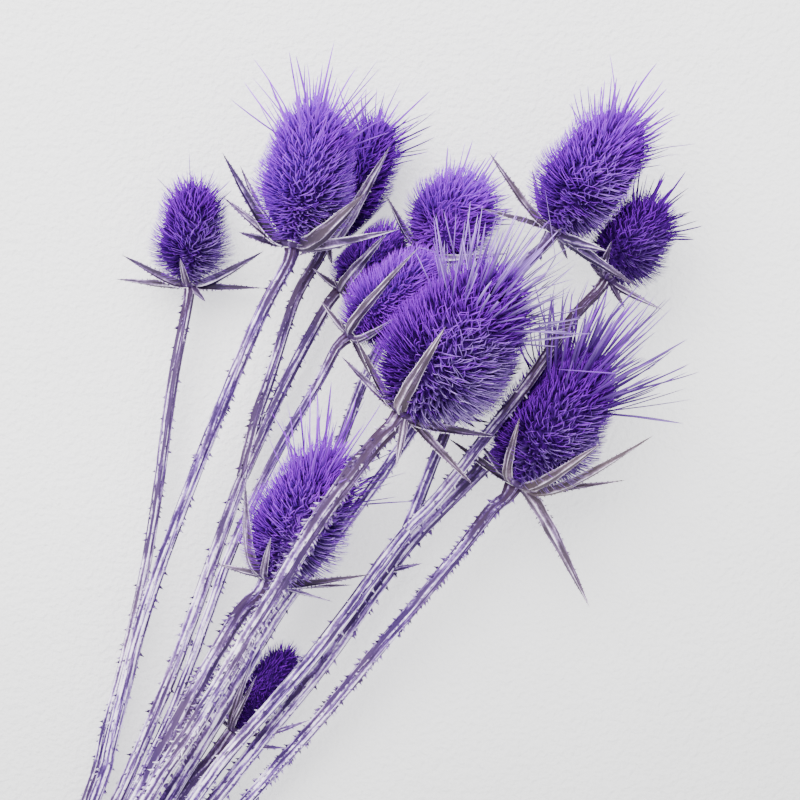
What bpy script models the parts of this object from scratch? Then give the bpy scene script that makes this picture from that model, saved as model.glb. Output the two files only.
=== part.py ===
"""A preserved bunch of violet teasels, lying down: 14 spiny heads, the whorl of bracts under
each, 11 prickly stems and the tie round them. Millimetres inside, metres in the meshes."""

import collections
import math
import random

import bpy
import numpy as np

MM = 0.001
SEAT_GAP = 0.3

# Places are seen from above: x to the right and y away from the cut ends, in millimetres from
# the middle of the fan, as they look at MID_HEIGHT from VIEW_HEIGHT over it. z is the height
# over the surface that the bunch lies on.
MID_HEIGHT = 30
VIEW_HEIGHT = 1100
# The middle of the whole bunch, cut ends included, which becomes the origin.
BUNCH_MIDDLE = np.array([-50.3, -115.3, 0.0])

# base and tip are the ends of the body's axis, girth its greatest radius without spines.
Head = collections.namedtuple("Head", "base tip girth spine top_spine rows columns")
HEADS = {
    1: Head((-105.5, 59.5, 19), (-103, 104, 20), 13, 8, 13, 7, 8),
    2: Head((-54.5, 79.5, 54), (-41.5, 144, 58), 17.5, 9, 36, 9, 10),
    3: Head((-36.5, 80, 21), (-10, 136, 22), 14, 8, 19, 8, 8),
    4: Head((-28, 56, 20), (-1, 82, 19), 13.5, 7, 10, 6, 8),
    5: Head((-23.5, 33.5, 47), (15, 68, 48), 13.5, 8, 12, 7, 8),
    6: Head((-65, -87.5, 40), (-33, -31, 41), 18.5, 9, 28, 9, 10),
    7: Head((11, 77.5, 26), (37.5, 105, 30), 16.5, 8, 21, 6, 9),
    8: Head((2.5, -5, 71), (49, 56, 75), 24, 11, 42, 11, 12),
    9: Head((78, 86, 50), (111.5, 138.5, 54), 17.5, 10, 35, 9, 10),
    10: Head((-82, -163, 14), (-55.5, -127, 14), 10, 5.5, 9, 6, 7),
    11: Head((30, -4.5, 30), (52.5, 25, 31), 11, 5.5, 10, 5, 7),
    12: Head((104.5, 62.5, 44), (127.5, 95, 40), 14.5, 8, 28, 6, 8),
    13: Head((53, -23, 13), (75.5, -2.5, 12), 8, 4.5, 7, 5, 6),
    14: Head((58.5, -40, 42), (93.5, 17.5, 44), 21, 10, 48, 9, 11),
}

# Each bract: the place of its tip, and its greatest width.
BRACTS = {
    1: [((-139, 72.5, 22), 5), ((-142.5, 60.5, 15), 4), ((-68, 74.5, 20), 5), ((-68, 56, 14), 4),
        ((-112, 84, 42), 3), ((-92, 40, 34), 3)],
    2: [((-89, 124, 62), 5), ((-80, 117.5, 46), 4), ((-88.5, 101.5, 57), 5), ((-81, 84, 48), 4),
        ((-17.5, 103.5, 80), 7), ((0, 85.5, 66), 5)],
    3: [((-4.5, 127.5, 48), 7), ((-54, 104, 16), 4), ((-34, 68, 44), 4), ((-51, 72, 4), 4)],
    4: [((-6, 84, 47), 6), ((-12, 44, 14), 4), ((-20, 36, 24), 3), ((-44, 66, 31), 4)],
    5: [((9.5, 76.5, 76), 5), ((-2, 41, 62), 4), ((-14, 10, 50), 3), ((-40, 50, 52), 4)],
    6: [((-77.5, -40, 54), 6), ((-64.5, -68.5, 68), 4), ((-13.5, -87, 48), 5),
        ((-23.5, -92.5, 38), 4), ((-33, -101, 42), 3), ((-92, -82, 36), 4)],
    7: [((-7, 102.5, 40), 5), ((54.5, 73.5, 44), 5), ((24, 56, 12), 4), ((46, 86, 10), 4)],
    8: [((23, 37, 110), 7), ((50, -18.5, 76), 6), ((-22.5, 32, 76), 5), ((-29.5, 22, 62), 5),
        ((37, -43, 62), 5), ((-2, -34, 90), 4), ((22, -24, 48), 4)],
    9: [((44.5, 124, 54), 5), ((39.5, 96, 46), 4), ((103.5, 74.5, 70), 6), ((118, 57, 70), 6),
        ((84, 70, 24), 4), ((66, 116, 22), 4)],
    10: [((-74, -130, 38), 4), ((-71.5, -137.5, 37), 3), ((-96, -152, 16), 3),
         ((-61, -167, 9), 3)],
    11: [((51.5, 3.5, 45), 3), ((45.5, -11.5, 32), 3), ((20, 8, 20), 3), ((38, -14, 18), 3)],
    12: [((106, 80, 58), 4), ((112.5, 45.5, 42), 4), ((131.5, 45, 44), 4), ((92, 76, 30), 4)],
    13: [((66, -32, 8), 3), ((45, -8, 10), 3), ((58, 0, 9), 3)],
    14: [((60, -8.5, 70), 5), ((101.5, -21, 74), 6), ((127, -17.5, 50), 6),
         ((113.5, -40, 34), 5), ((95, -104, 34), 7), ((39, -20, 40), 5), ((24, -19, 38), 5)],
}

# The tie, and where each stem lies in it: rows of stems side by side, each row in the hollows
# of the one below.
TIE_PLACE = np.array([-190.0, -315.0])
TIE_WAY = np.array([0.51, 0.86])
CUT_BELOW_TIE = 90
PITCH = 7.0
STEM_AT_TIE = 3.35
LOWEST_ROW = 5.25
ROW_RISE = PITCH * math.sqrt(0.75)
TIE_WIDTH = 13
TIE_WALL = 1.6

# slot is how many pitches the stem lies from the tie's middle, row its row. trunk goes from
# the tie up, and each arm goes from the trunk's end to the head it names.
Stem = collections.namedtuple("Stem", "slot row radius cut trunk arms")
STEMS = {
    1: Stem(-2, 0, 2.3, -4, [(-155.5, -196, 8), (-148.5, -170.5, 9), (-134.5, -120, 11),
            (-126.5, -82, 12), (-121, -47.5, 13), (-113.5, 10, 15)], {1: []}),
    2: Stem(-1.5, 1, 2.8, 3, [(-151, -196, 16), (-145, -174.5, 18), (-138, -149, 21),
            (-131.5, -114.5, 24), (-121, -85.5, 27), (-105, -43.5, 33), (-85.5, 10, 41),
            (-69.5, 45, 47)], {2: []}),
    3: Stem(-1, 0, 2.9, 6, [(-141.5, -200, 9), (-132, -179, 10), (-113, -136, 12),
            (-103, -106, 13), (-89, -66.5, 14.5), (-77, -34, 16)],
            {3: [(-71.5, -7.5, 17), (-65.5, 10, 18), (-52.5, 50, 20)], 4: [(-56.5, 10, 18)]}),
    4: Stem(0, 0, 2.0, -2, [(-135, -200, 9.5), (-115, -162, 13), (-102, -123, 17),
            (-94.5, -106, 18.5), (-87.5, -80, 20), (-76.5, -57, 22), (-59.5, -20, 29),
            (-40, 10, 38)], {5: []}),
    5: Stem(-0.5, 1, 3.4, 8, [(-131.5, -200, 19), (-114, -166, 24), (-97, -135, 29),
            (-79.5, -106, 35)], {6: []}),
    6: Stem(0, 2, 3.7, -6, [(-127, -200, 28), (-102.5, -164, 36), (-85, -133.5, 45),
            (-75.5, -116.5, 50), (-64, -99, 55), (-54.5, -83.5, 61), (-47, -68.5, 65),
            (-28.5, -36.5, 69.5), (-13.5, -18.5, 70.5)], {8: []}),
    7: Stem(0.5, 1, 3.3, 2, [(-116.5, -200, 15), (-96, -166.5, 21), (-79, -140, 24.5),
            (-69, -119, 25)],
            {9: [(-54.5, -98, 27), (-15.5, -46.5, 34), (7.5, -12.5, 39), (35, 29, 42),
                 (60, 65, 46)],
             7: [(-61, -92, 19), (-50, -62, 15.5), (-37, -40, 15.5), (-18, 10, 19),
                 (1, 52, 23)]}),
    8: Stem(1, 0, 3.0, -8, [(-110, -200, 9), (-94.5, -180, 11)], {10: []}),
    9: Stem(1, 2, 3.0, 5, [(-103, -200, 25), (-87, -176.5, 29), (-72, -161, 31),
            (-49, -136, 33), (-26, -107, 35), (-3.5, -73, 37), (7, -61, 38)],
            {11: [(15, -35, 34), (22, -18, 32)],
             12: [(21, -46.5, 42), (43.5, -17.5, 51), (63.5, 8, 56), (86, 40.5, 51)]}),
    10: Stem(1.5, 1, 3.3, -3, [(-92.5, -200, 16), (-67, -166, 20.5), (-41, -137.5, 22),
             (-18, -104.5, 21), (3, -69.5, 19), (28, -47, 16)], {13: []}),
    11: Stem(2, 0, 2.8, 4, [(-72, -195, 15), (-41, -162, 20), (-14.5, -127.5, 26),
             (10.5, -100, 30), (35, -69.5, 35), (46.5, -54, 38)], {14: []}),
}

# A stem is six-sided. Its prickles stand on short rings, from FIRST_PRICKLES past the tie.
STEM_SIDES = 6
STEM_STEP = 30
THICKEST_ARM = 2.6
ARM_TAPER = 0.12
TAPER_LENGTH = 30
# The straight end of a stem under its head, and how far back in its trunk an arm begins.
SEAT_RUN = 7
ARM_ROOT = 5
PRICKLE_PITCH = 54
PRICKLE_LONG = 2.6
PRICKLE_HEIGHT = 1.7
PRICKLE_HOOK = 0.5
FIRST_PRICKLES = 60
FIRST_ON_ARM = 24
LAST_PRICKLES = 14

# The whorl is a disc under the head, at least WHORL_LEAST in radius, with bracts rooted in it.
WHORL_THICK = 3.0
WHORL_SIDES = 10
WHORL_SHARE = 0.36
WHORL_LEAST = 4
BRACT_ROOT = 0.45
# How far a bract's edges stand over its middle line, and how deep its keel is for its width.
BRACT_EDGE = 0.4
BRACT_KEEL = 0.45
BRACT_WIDTHS = (0.45, 1.0, 0.84, 0.5)
BRACT_PLACES = (0, 0.25, 0.5, 0.76, 1)
# A bract first bends out along the seat, only as far as it must to clear the head's body, and
# is nearly straight after that.
BRACT_BENDS = np.arange(0.2, 1.15, 0.05)
ROOT_PULL = 0.9
TIP_PULL = 0.75
BODY_CLEAR = 1.8
# How far the blade's flat side is turned to face the head.
BRACT_TURN = 0.6

# A head's body is widest at WIDEST of its length. Its seat is flat, and its round top would be
# TOP_SHARE long if it ran on to a point.
WIDEST = 0.44
SEAT_SHARE = 0.4
TOP_SHARE = 0.59
SEAT_CURVE = 0.9
TOP_CURVE = 2.4
DOME_RISE = 0.12
# A spine stands CELL_RISE over the body on a root of this radius, leans towards the tip, and is
# longer from LONG_FROM of the length on.
CELL_RISE = 0.9
SPINE_ROOT = 1.2
THIN_ROOT = 0.95
THIN_GIRTH = 12
LEAN = ((0, 0.3, 1), (0.1, 0.34, 0.22))
LOWEST_LEAN = -0.05
SWAY = 0.12
# Spines are LEAST_LONG of their full length at the seat and from LONG_TO of the body on.
LEAST_LONG = 0.75
LONG_TO = 0.6
LONG_FROM = 0.62
# What lies against a head bends its surface, softly, over these distances and to these gaps.
HEAD_GAP = 0.7
HEAD_SOFT = 3.0
HEAD_FADE = 8
STEM_GAP = 0.5
STEM_SOFT = 2.5
STEM_FADE = 3
STEM_ASIDE = 5
STEM_PAST = 6
BRACT_GAP = 1.6
# A spine that a bract crosses lower than this share of its length is cut short under it.
ASIDE_FROM = 0.45
LEAST_SPINE = 0.3
FLOOR_GAP = 0.15
FLOOR_SOFT = 2.5

VIOLET = (0.13, 0.045, 0.42)
STEM_LILAC = (0.42, 0.3, 0.55)
PALE_BRACT = (0.45, 0.36, 0.52)
RAFFIA = (0.55, 0.43, 0.27)


def unit(vector):
    return vector / np.linalg.norm(vector)


def placed(point):
    """Where a point seen from above really is, from the middle of the whole bunch."""
    x, y, z = point
    nearer = 1 - (z - MID_HEIGHT) / VIEW_HEIGHT
    return np.array([x * nearer, y * nearer, z]) - BUNCH_MIDDLE


def axis_of(head):
    """The head's base, the way its axis points, and its length."""
    base, tip = placed(head.base), placed(head.tip)
    return base, unit(tip - base), np.linalg.norm(tip - base)


def across(way):
    """Two unit vectors at right angles to way and to each other, the second one upwards."""
    side = unit(np.cross((0, 0, 1), way))
    return side, np.cross(way, side)


def finished(made, name, colour, roughness):
    """Gives an object its one material, and smooth shading up to its sharp edges."""
    surface = bpy.data.materials.new(name)
    surface.use_nodes = True
    shader = surface.node_tree.nodes["Principled BSDF"]
    shader.inputs["Base Color"].default_value = (*colour, 1)
    shader.inputs["Roughness"].default_value = roughness
    made.data.materials.clear()
    made.data.materials.append(surface)
    made.data.shade_smooth()
    made.data.set_sharp_from_angle(angle=math.radians(50))


def mesh_object(name, points, faces):
    mesh = bpy.data.meshes.new(name)
    mesh.from_pydata([tuple(p) for p in np.array(points) * MM], [], faces)
    mesh.validate()
    made = bpy.data.objects.new(name, mesh)
    bpy.context.scene.collection.objects.link(made)
    return made


def fused(name, pieces):
    """One object from closed pieces that cross each other."""
    first, *others = pieces
    first.name = name
    if others:
        group = bpy.data.collections.new(name)
        bpy.context.scene.collection.children.link(group)
        for piece in others:
            group.objects.link(piece)
        union = first.modifiers.new("union", "BOOLEAN")
        union.operation = "UNION"
        union.operand_type = "COLLECTION"
        union.collection = group
        bpy.context.view_layer.update()
        with bpy.context.temp_override(object=first):
            bpy.ops.object.modifier_apply(modifier=union.name)
        for piece in others:
            bpy.data.objects.remove(piece)
        bpy.data.collections.remove(group)
    return first


def smooth_path(points, step):
    """Points about a step apart on a smooth curve through the given ones."""
    points = [np.array(p, float) for p in points]
    padded = [2 * points[0] - points[1], *points, 2 * points[-1] - points[-2]]
    path = []
    for i in range(1, len(padded) - 2):
        before, start, end, after = padded[i - 1 : i + 3]
        pieces = max(1, round(np.linalg.norm(end - start) / step))
        for t in np.arange(pieces) / pieces:
            path.append(
                start
                + 0.5 * t * (end - before)
                + t**2 * (before - 2.5 * start + 2 * end - 0.5 * after)
                + 0.5 * t**3 * (after - before + 3 * start - 3 * end)
            )
    return [*path, points[-1]]


def inside_floor(points, lowest, soft):
    """Bends what would go below lowest up to it, starting soft millimetres over it."""
    points = np.array(points)
    deep = points[:, 2] < lowest + soft
    points[deep, 2] = lowest + soft * np.exp((points[deep, 2] - lowest - soft) / soft)
    return points


def nearest_on(start, end, points):
    """For each point, the nearest one on a straight line from start to end."""
    way = end - start
    share = np.clip((points - start) @ way / (way @ way), 0, 1)
    return start + share[:, None] * way


def nearest_pair(a0, a1, b0, b1):
    """The nearest two points of two straight lines, by sampling."""
    share = np.linspace(0, 1, 41)[:, None]
    on_a = a0 + share * (a1 - a0)
    on_b = nearest_on(b0, b1, on_a)
    best = np.argmin(np.linalg.norm(on_a - on_b, axis=1))
    return on_a[best], on_b[best]


def girth_at(share):
    """The body's radius along its axis, as a share of the greatest: an egg with a flat seat."""
    if share < WIDEST:
        return SEAT_SHARE + (1 - SEAT_SHARE) * math.sin(math.pi / 2 * share / WIDEST) ** SEAT_CURVE
    return math.sqrt(1 - ((share - WIDEST) / TOP_SHARE) ** TOP_CURVE)


def row_shares(head, length):
    """The shares of the axis at which rows of corners lie, evenly spaced over the surface."""
    shares = np.linspace(0, 1, 200)
    radii = [head.girth * girth_at(share) for share in shares]
    run = np.cumsum([0, *np.hypot(np.diff(radii), np.diff(shares) * length)])
    return np.interp(np.linspace(0, run[-1], head.rows + 2), run, shares)


def outward_slope(head, length, share):
    """How far the surface falls towards the tip for each millimetre along the axis."""
    ahead, behind = min(1, share + 0.02), max(0, share - 0.02)
    fall = head.girth * (girth_at(behind) - girth_at(ahead))
    return fall / ((ahead - behind) * length)


def pressed(number, points):
    """The head's points, bent aside where another head or a crossing stem lies against it."""
    base, way, length = axis_of(HEADS[number])
    tip = base + way * length
    for other, head in HEADS.items():
        if other == number:
            continue
        base_2, way_2, length_2 = axis_of(head)
        tip_2 = base_2 + way_2 * length_2
        mine, its = nearest_pair(base, tip, base_2, tip_2)
        apart = np.linalg.norm(its - mine)
        if apart > HEADS[number].girth + HEADS[number].top_spine + head.girth + head.top_spine:
            continue
        normal = (its - mine) / apart
        girth = HEADS[number].girth * girth_at(min(1, np.linalg.norm(mine - base) / length))
        girth_2 = head.girth * girth_at(min(1, np.linalg.norm(its - base_2) / length_2))
        limit = girth + (apart - girth - girth_2 - HEAD_GAP) / 2
        reach = head.girth + head.spine + HEAD_FADE / 2
        off = np.linalg.norm(points - nearest_on(base_2, tip_2, points), axis=1)
        weight = np.clip(1 + (reach - off) / HEAD_FADE, 0, 1)
        points = squeezed(points, mine, normal, limit, HEAD_SOFT, weight)
    for stem in STEMS.values():
        for line, radius in stem_lines(stem):
            for start, end in zip(line, line[1:]):
                mine, its = nearest_pair(base, tip, start, end)
                apart = np.linalg.norm(its - mine)
                if apart > HEADS[number].girth + HEADS[number].top_spine or number in stem.arms:
                    continue
                normal = (its - mine) / apart
                along = unit(end - start)
                aside = np.abs((points - its) @ unit(np.cross(along, normal)))
                past = np.abs((points - (start + end) / 2) @ along) - np.linalg.norm(end - start) / 2
                weight = np.clip((radius + STEM_ASIDE - aside) / STEM_FADE, 0, 1)
                weight *= np.clip((STEM_PAST - past) / STEM_FADE, 0, 1)
                points = squeezed(points, mine, normal, apart - radius - STEM_GAP, STEM_SOFT, weight)
    return points


def squeezed(points, start, normal, limit, soft, weight):
    """Bends points back to within limit of start along normal, softly from soft before it."""
    ahead = (points - start) @ normal
    over = np.maximum(ahead - (limit - soft), 0)
    kept = soft * (1 - np.exp(-over / soft))
    return points - np.outer((over - kept) * weight, normal)


def stem_lines(stem):
    """The middle lines of a stem's trunk and arms, each with a radius that covers prickles."""
    radius = stem.radius + PRICKLE_HEIGHT
    yield smooth_path(trunk_points(stem), STEM_STEP), radius
    if len(stem.arms) > 1:
        for number, arm in stem.arms.items():
            yield smooth_path(arm_points(stem, number, arm), STEM_STEP), radius


def clear_of_bracts(bracts, root, tip):
    """The tip of a spine, moved aside until the spine passes the bracts."""
    for path, width in bracts * 3:
        for start, end in zip(path, path[1:]):
            mine, its = nearest_pair(root, tip, start, end)
            gap = np.linalg.norm(mine - its)
            short = 0.5 * width + BRACT_GAP - gap
            if short > 0:
                share = np.linalg.norm(mine - root) / np.linalg.norm(tip - root)
                if share < ASIDE_FROM:
                    under = np.linalg.norm(mine - root) - keel_depth(width / 2) - BRACT_GAP / 2
                    tip = root + unit(tip - root) * max(LEAST_SPINE, under)
                else:
                    tip = tip + unit(mine - its) * short / share
    return tip


def head_object(number):
    """A closed egg of diamond cells, each rising from its corners to a spine."""
    head = HEADS[number]
    base, way, length = axis_of(head)
    side, up = across(way)
    draw = random.Random(number)
    rows, columns = head.rows, head.columns
    step = 2 * math.pi / columns

    def on_body(share, angle, out=0.0):
        radius = head.girth * girth_at(share) + out
        return base + way * share * length + radius * (side * math.cos(angle) + up * math.sin(angle))

    points, faces = [], []

    def add(point):
        points.append(point)
        return len(points) - 1

    def corner_angle(row, column):
        return step * (column + 0.5 * (row % 2) + 0.5)

    shares = row_shares(head, length)
    corners = [
        [add(on_body(share, corner_angle(row, column))) for column in range(columns)]
        for row, share in enumerate(shares, -1)
    ]

    def corner(row, half_steps):
        """The corner of a row at an angle given in half steps."""
        column = (half_steps - 1 - row % 2) // 2
        return corners[row + 1][column % columns]

    root = SPINE_ROOT if head.girth > THIN_GIRTH else THIN_ROOT
    bracts = [(bract_path(number, tip, width)[0], width) for tip, width in BRACTS[number]]

    def add_spine(ring, centre, right, spine_way, long):
        """A spine on three root points, joined to the corners of the cell round it."""
        ahead = unit(np.cross(spine_way, right))
        turned = draw.uniform(0, 2 * math.pi / 3)
        angles = [turned + k * 2 * math.pi / 3 for k in range(3)]
        roots = [
            add(centre + root * (right * math.cos(angle) + ahead * math.sin(angle)))
            for angle in angles
        ]
        tip = add(clear_of_bracts(bracts, centre, centre + spine_way * long))
        faces.extend(joined_rings(points, ring, roots, centre, right, ahead))
        faces.extend((roots[k], roots[(k + 1) % 3], tip) for k in range(3))

    for row in range(rows):
        for column in range(columns):
            middle = 2 * column + row % 2
            ring = [
                corner(row - 1, middle),
                corner(row, middle + 1),
                corner(row + 1, middle),
                corner(row, middle - 1),
            ]
            share = shares[row + 1] + draw.uniform(-0.1, 0.1) / rows
            angle = step * (middle / 2 + draw.uniform(-0.12, 0.12))
            outward = side * math.cos(angle) + up * math.sin(angle)
            round_body = np.cross(way, outward)
            normal = unit(outward + way * outward_slope(head, length, share))
            lean = np.interp(share, *LEAN) * draw.uniform(0.6, 1.4)
            spine_way = normal + way * lean + round_body * draw.uniform(-SWAY, SWAY)
            spine_way = unit(spine_way + way * max(0, LOWEST_LEAN - spine_way @ way))
            full = math.sin(math.pi * min(1, share / LONG_TO))
            long = head.spine * (LEAST_LONG + (1 - LEAST_LONG) * full)
            grown = max(0, (share - LONG_FROM) / (1 - LONG_FROM))
            long += (head.top_spine - head.spine) * grown * draw.uniform(0.7, 1.05)
            add_spine(ring, on_body(share, angle, CELL_RISE), round_body, spine_way, long)
    foot = [corner(-1, 2 * column) for column in range(columns)]
    for column in range(columns):
        middle = 2 * column
        faces.append((corner(-1, middle), corner(-1, middle + 2), corner(0, middle + 1)))
    faces.append(tuple(reversed(foot)))
    last = rows
    top = [corner(last, 2 * column + (last - 1) % 2) for column in range(columns)]
    for column in range(columns):
        middle = 2 * column + (last - 1) % 2
        faces.append((corner(last, middle), corner(last - 1, middle + 1), corner(last, middle + 2)))
    dome = base + way * (length + DOME_RISE * head.girth)
    add_spine(top, dome, side, way, head.top_spine * 0.9)
    points = np.array(points)
    moved = inside_floor(pressed(number, points), FLOOR_GAP, FLOOR_SOFT)
    moved[foot] = points[foot]
    finished(mesh_object(f"head_{number:02d}", moved, faces), "head", VIOLET, 0.6)


def joined_rings(points, ring, roots, centre, right, up):
    """Triangles between a cell's four corners and its spine's three root points."""
    def turn(index):
        across_cell = points[index] - centre
        return math.atan2(across_cell @ up, across_cell @ right) % (2 * math.pi)

    outer = sorted(ring, key=turn)
    inner = sorted(roots, key=turn)
    marks = sorted([(turn(i), 0, i) for i in outer] + [(turn(i), 1, i) for i in inner])
    now = [outer[-1], inner[-1]]
    faces = []
    for _, kind, index in marks:
        faces.append((now[0], index, now[1]))
        now[kind] = index
    return faces


def blade(name, path, width, flat_way):
    """A thin three-edged blade with its keel away from flat_way, pointed at its end."""
    path = [np.array(p) for p in path]
    points = []
    last = len(path) - 1
    for i, place in enumerate(path[:-1]):
        way = unit(path[i + 1] - path[max(0, i - 1)])
        side = unit(np.cross(way, flat_way))
        normal = np.cross(side, way)
        half = width / 2 * BRACT_WIDTHS[i]
        deep = keel_depth(half)
        points += [place - side * half + normal * BRACT_EDGE,
                   place + side * half + normal * BRACT_EDGE,
                   place - normal * deep]
    points.append(path[-1])
    faces = [(2, 1, 0)]
    for i in range(last - 1):
        a = 3 * i
        for j, k in ((0, 1), (1, 2), (2, 0)):
            faces += [(a + j, a + k, a + 3 + k), (a + j, a + 3 + k, a + 3 + j)]
    a = 3 * (last - 1)
    faces += [(a, a + 1, 3 * last), (a + 1, a + 2, 3 * last), (a + 2, a, 3 * last)]
    return mesh_object(name, points, faces)


def keel_depth(half):
    return BRACT_EDGE + BRACT_KEEL * half


def whorl_radius(head):
    return max(WHORL_LEAST, WHORL_SHARE * head.girth)


def bract_path(number, tip, width):
    """A curve from the whorl out past the head's body, and up to the tip."""
    head = HEADS[number]
    base, way, length = axis_of(head)
    end = placed(tip)
    out = end - base - ((end - base) @ way) * way
    outward = unit(out)
    start = base + outward * BRACT_ROOT * whorl_radius(head) - way * (SEAT_GAP + WHORL_THICK / 2)
    for past in BRACT_BENDS:
        bend = base + out * past - way * (SEAT_GAP + WHORL_THICK)
        pull = start + (bend - start) * ROOT_PULL
        pull_2 = end + (bend - end) * TIP_PULL
        path = [
            (1 - t) ** 3 * start
            + 3 * t * (1 - t) ** 2 * pull
            + 3 * t**2 * (1 - t) * pull_2
            + t**3 * end
            for t in BRACT_PLACES
        ]
        if clears_body(path, head, base, way, length, BODY_CLEAR + BRACT_KEEL * width / 2):
            break
    return path, outward, way


def clears_body(path, head, base, way, length, clear):
    """Whether every place of a path that lies beside the head's body clears it."""
    for start, stop in zip(path, path[1:]):
        for place in (start, (start + stop) / 2):
            ahead = (place - base) @ way
            off = np.linalg.norm(place - base - ahead * way)
            if 0 < ahead < length and off < head.girth * girth_at(ahead / length) + clear:
                return False
    return True


def bracts_object(number):
    """The whorl under a head: a round disc with its bracts rooted in it."""
    head = HEADS[number]
    base, way, _ = axis_of(head)
    side, up = across(way)
    rings = []
    for back in (SEAT_GAP + WHORL_THICK, SEAT_GAP):
        for a in np.arange(WHORL_SIDES) * 2 * math.pi / WHORL_SIDES:
            out = side * math.cos(a) + up * math.sin(a)
            rings.append(base - way * back + whorl_radius(head) * out)
    faces = [tuple(reversed(range(WHORL_SIDES))), tuple(range(WHORL_SIDES, 2 * WHORL_SIDES))]
    for i in range(WHORL_SIDES):
        j = (i + 1) % WHORL_SIDES
        faces.append((i, j, WHORL_SIDES + j, WHORL_SIDES + i))
    pieces = [mesh_object("disc", rings, faces)]
    for place, (tip, width) in enumerate(BRACTS[number]):
        path, outward, way = bract_path(number, tip, width)
        pieces.append(blade(f"bract {place}", path, width, way - BRACT_TURN * outward))
    finished(fused(f"bracts_{number:02d}", pieces), "bract", PALE_BRACT, 0.55)


def trunk_points(stem):
    """The trunk's places from the cut end through the tie to where its arms begin."""
    way = np.array([*TIE_WAY, 0]) / np.linalg.norm(TIE_WAY)
    side = np.array([way[1], -way[0], 0])
    slot = np.array([*TIE_PLACE, LOWEST_ROW + stem.row * ROW_RISE]) - BUNCH_MIDDLE
    slot += side * stem.slot * PITCH
    cut = slot - way * (CUT_BELOW_TIE + stem.cut)
    middle = [placed(p) for p in stem.trunk]
    eased = [(a + 2 * b + c) / 4 for a, b, c in zip(middle, middle[1:], middle[2:])]
    points = [cut, slot - way * CUT_BELOW_TIE / 2, slot - way * TIE_WIDTH, slot + way * TIE_WIDTH]
    points += [middle[0], *eased, middle[-1]]
    if len(stem.arms) == 1:
        (number,) = stem.arms
        points += seat_points(number)
    return points


def seat_points(number):
    """The last two places of a stem, square under the whorl of the head that it carries."""
    base, way, _ = axis_of(HEADS[number])
    end = base - way * (2 * SEAT_GAP + WHORL_THICK)
    return [end - way * SEAT_RUN, end]


def arm_points(stem, number, arm):
    root = placed(stem.trunk[-1])
    back = placed(stem.trunk[-2])
    start = root + ARM_ROOT * unit(back - root)
    return [start, *[placed(p) for p in arm], *seat_points(number)]


def tube(name, points, radius_at, seed, first_prickles):
    """A six-sided stem along a curve, with a short ring here and there that carries prickles."""
    path = smooth_path(points, STEM_STEP)
    draw = random.Random(seed)
    lengths = np.cumsum([0, *(np.linalg.norm(b - a) for a, b in zip(path, path[1:]))])
    total = lengths[-1]

    def place_at(along):
        return np.array([np.interp(along, lengths, [p[k] for p in path]) for k in range(3)])

    prickly = []
    at = first_prickles
    while at < total - LAST_PRICKLES:
        prickly.append(at)
        at += PRICKLE_PITCH * draw.uniform(0.8, 1.2)
    plain = [
        s for s in lengths
        if s in (0, total) or all(abs(s - at) > 2 * PRICKLE_LONG for at in prickly)
    ]
    starts = [at - PRICKLE_LONG / 2 for at in prickly]
    places = sorted(plain + starts + [at + PRICKLE_LONG / 2 for at in prickly])
    side = np.array([TIE_WAY[1], -TIE_WAY[0], 0])
    middles, ways, corners, faces = [], [], [], []
    for s in places:
        middles.append(place_at(s))
        ahead, behind = min(total, s + 2), max(0, s - 2)
        ways.append(unit(place_at(ahead) - place_at(behind)))
        side = unit(side - (side @ ways[-1]) * ways[-1])
        other = np.cross(ways[-1], side)
        for k in range(STEM_SIDES):
            angle = 2 * math.pi * k / STEM_SIDES
            out = side * math.cos(angle) + other * math.sin(angle)
            corners.append(middles[-1] + radius_at(s, total) * out)
    for i, s in enumerate(places[:-1]):
        first = draw.randrange(2)
        for k in range(STEM_SIDES):
            a, b = STEM_SIDES * i + k, STEM_SIDES * i + (k + 1) % STEM_SIDES
            c, d = b + STEM_SIDES, a + STEM_SIDES
            if s in starts and k % 2 == first:
                foot = (corners[a] + corners[b] + corners[c] + corners[d]) / 4
                out = unit(foot - (middles[i] + middles[i + 1]) / 2)
                tip = len(corners)
                corners.append(foot + out * PRICKLE_HEIGHT - ways[i] * PRICKLE_HOOK)
                faces += [(a, b, tip), (b, c, tip), (c, d, tip), (d, a, tip)]
            else:
                faces.append((a, b, c, d))
    last = STEM_SIDES * (len(places) - 1)
    faces.append(tuple(reversed(range(STEM_SIDES))))
    faces.append(tuple(range(last, last + STEM_SIDES)))
    return mesh_object(name, corners, faces)


def stem_object(number):
    """A stem from its cut end to its heads, thickest from the cut end to just past the tie."""
    stem = STEMS[number]
    past_tie = CUT_BELOW_TIE + stem.cut + TIE_WIDTH
    arm_radius = min(stem.radius, THICKEST_ARM)

    def trunk_at(along, total):
        thick = max(0, 1 - max(0, along - past_tie) / TAPER_LENGTH)
        return stem.radius + (STEM_AT_TIE - stem.radius) * thick

    def arm_at(along, total):
        return arm_radius * (1 - ARM_TAPER * along / total)

    first = past_tie + FIRST_PRICKLES
    pieces = [tube(f"stem {number}", trunk_points(stem), trunk_at, number, first)]
    if len(stem.arms) > 1:
        pieces += [
            tube(f"arm {head}", arm_points(stem, head, arm), arm_at, 100 + head, FIRST_ON_ARM)
            for head, arm in stem.arms.items()
        ]
    finished(fused(f"stem_{number:02d}", pieces), "stem", STEM_LILAC, 0.6)


def hull(points):
    """The convex outline of points in a plane, anticlockwise."""
    points = sorted(map(tuple, points))
    outline = []
    for ordered in (points, points[::-1]):
        part = []
        for p in ordered:
            while len(part) > 1 and (
                (part[-1][0] - part[-2][0]) * (p[1] - part[-2][1])
                - (part[-1][1] - part[-2][1]) * (p[0] - part[-2][0])
            ) <= 0:
                part.pop()
            part.append(p)
        outline += part[:-1]
    return outline


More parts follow.
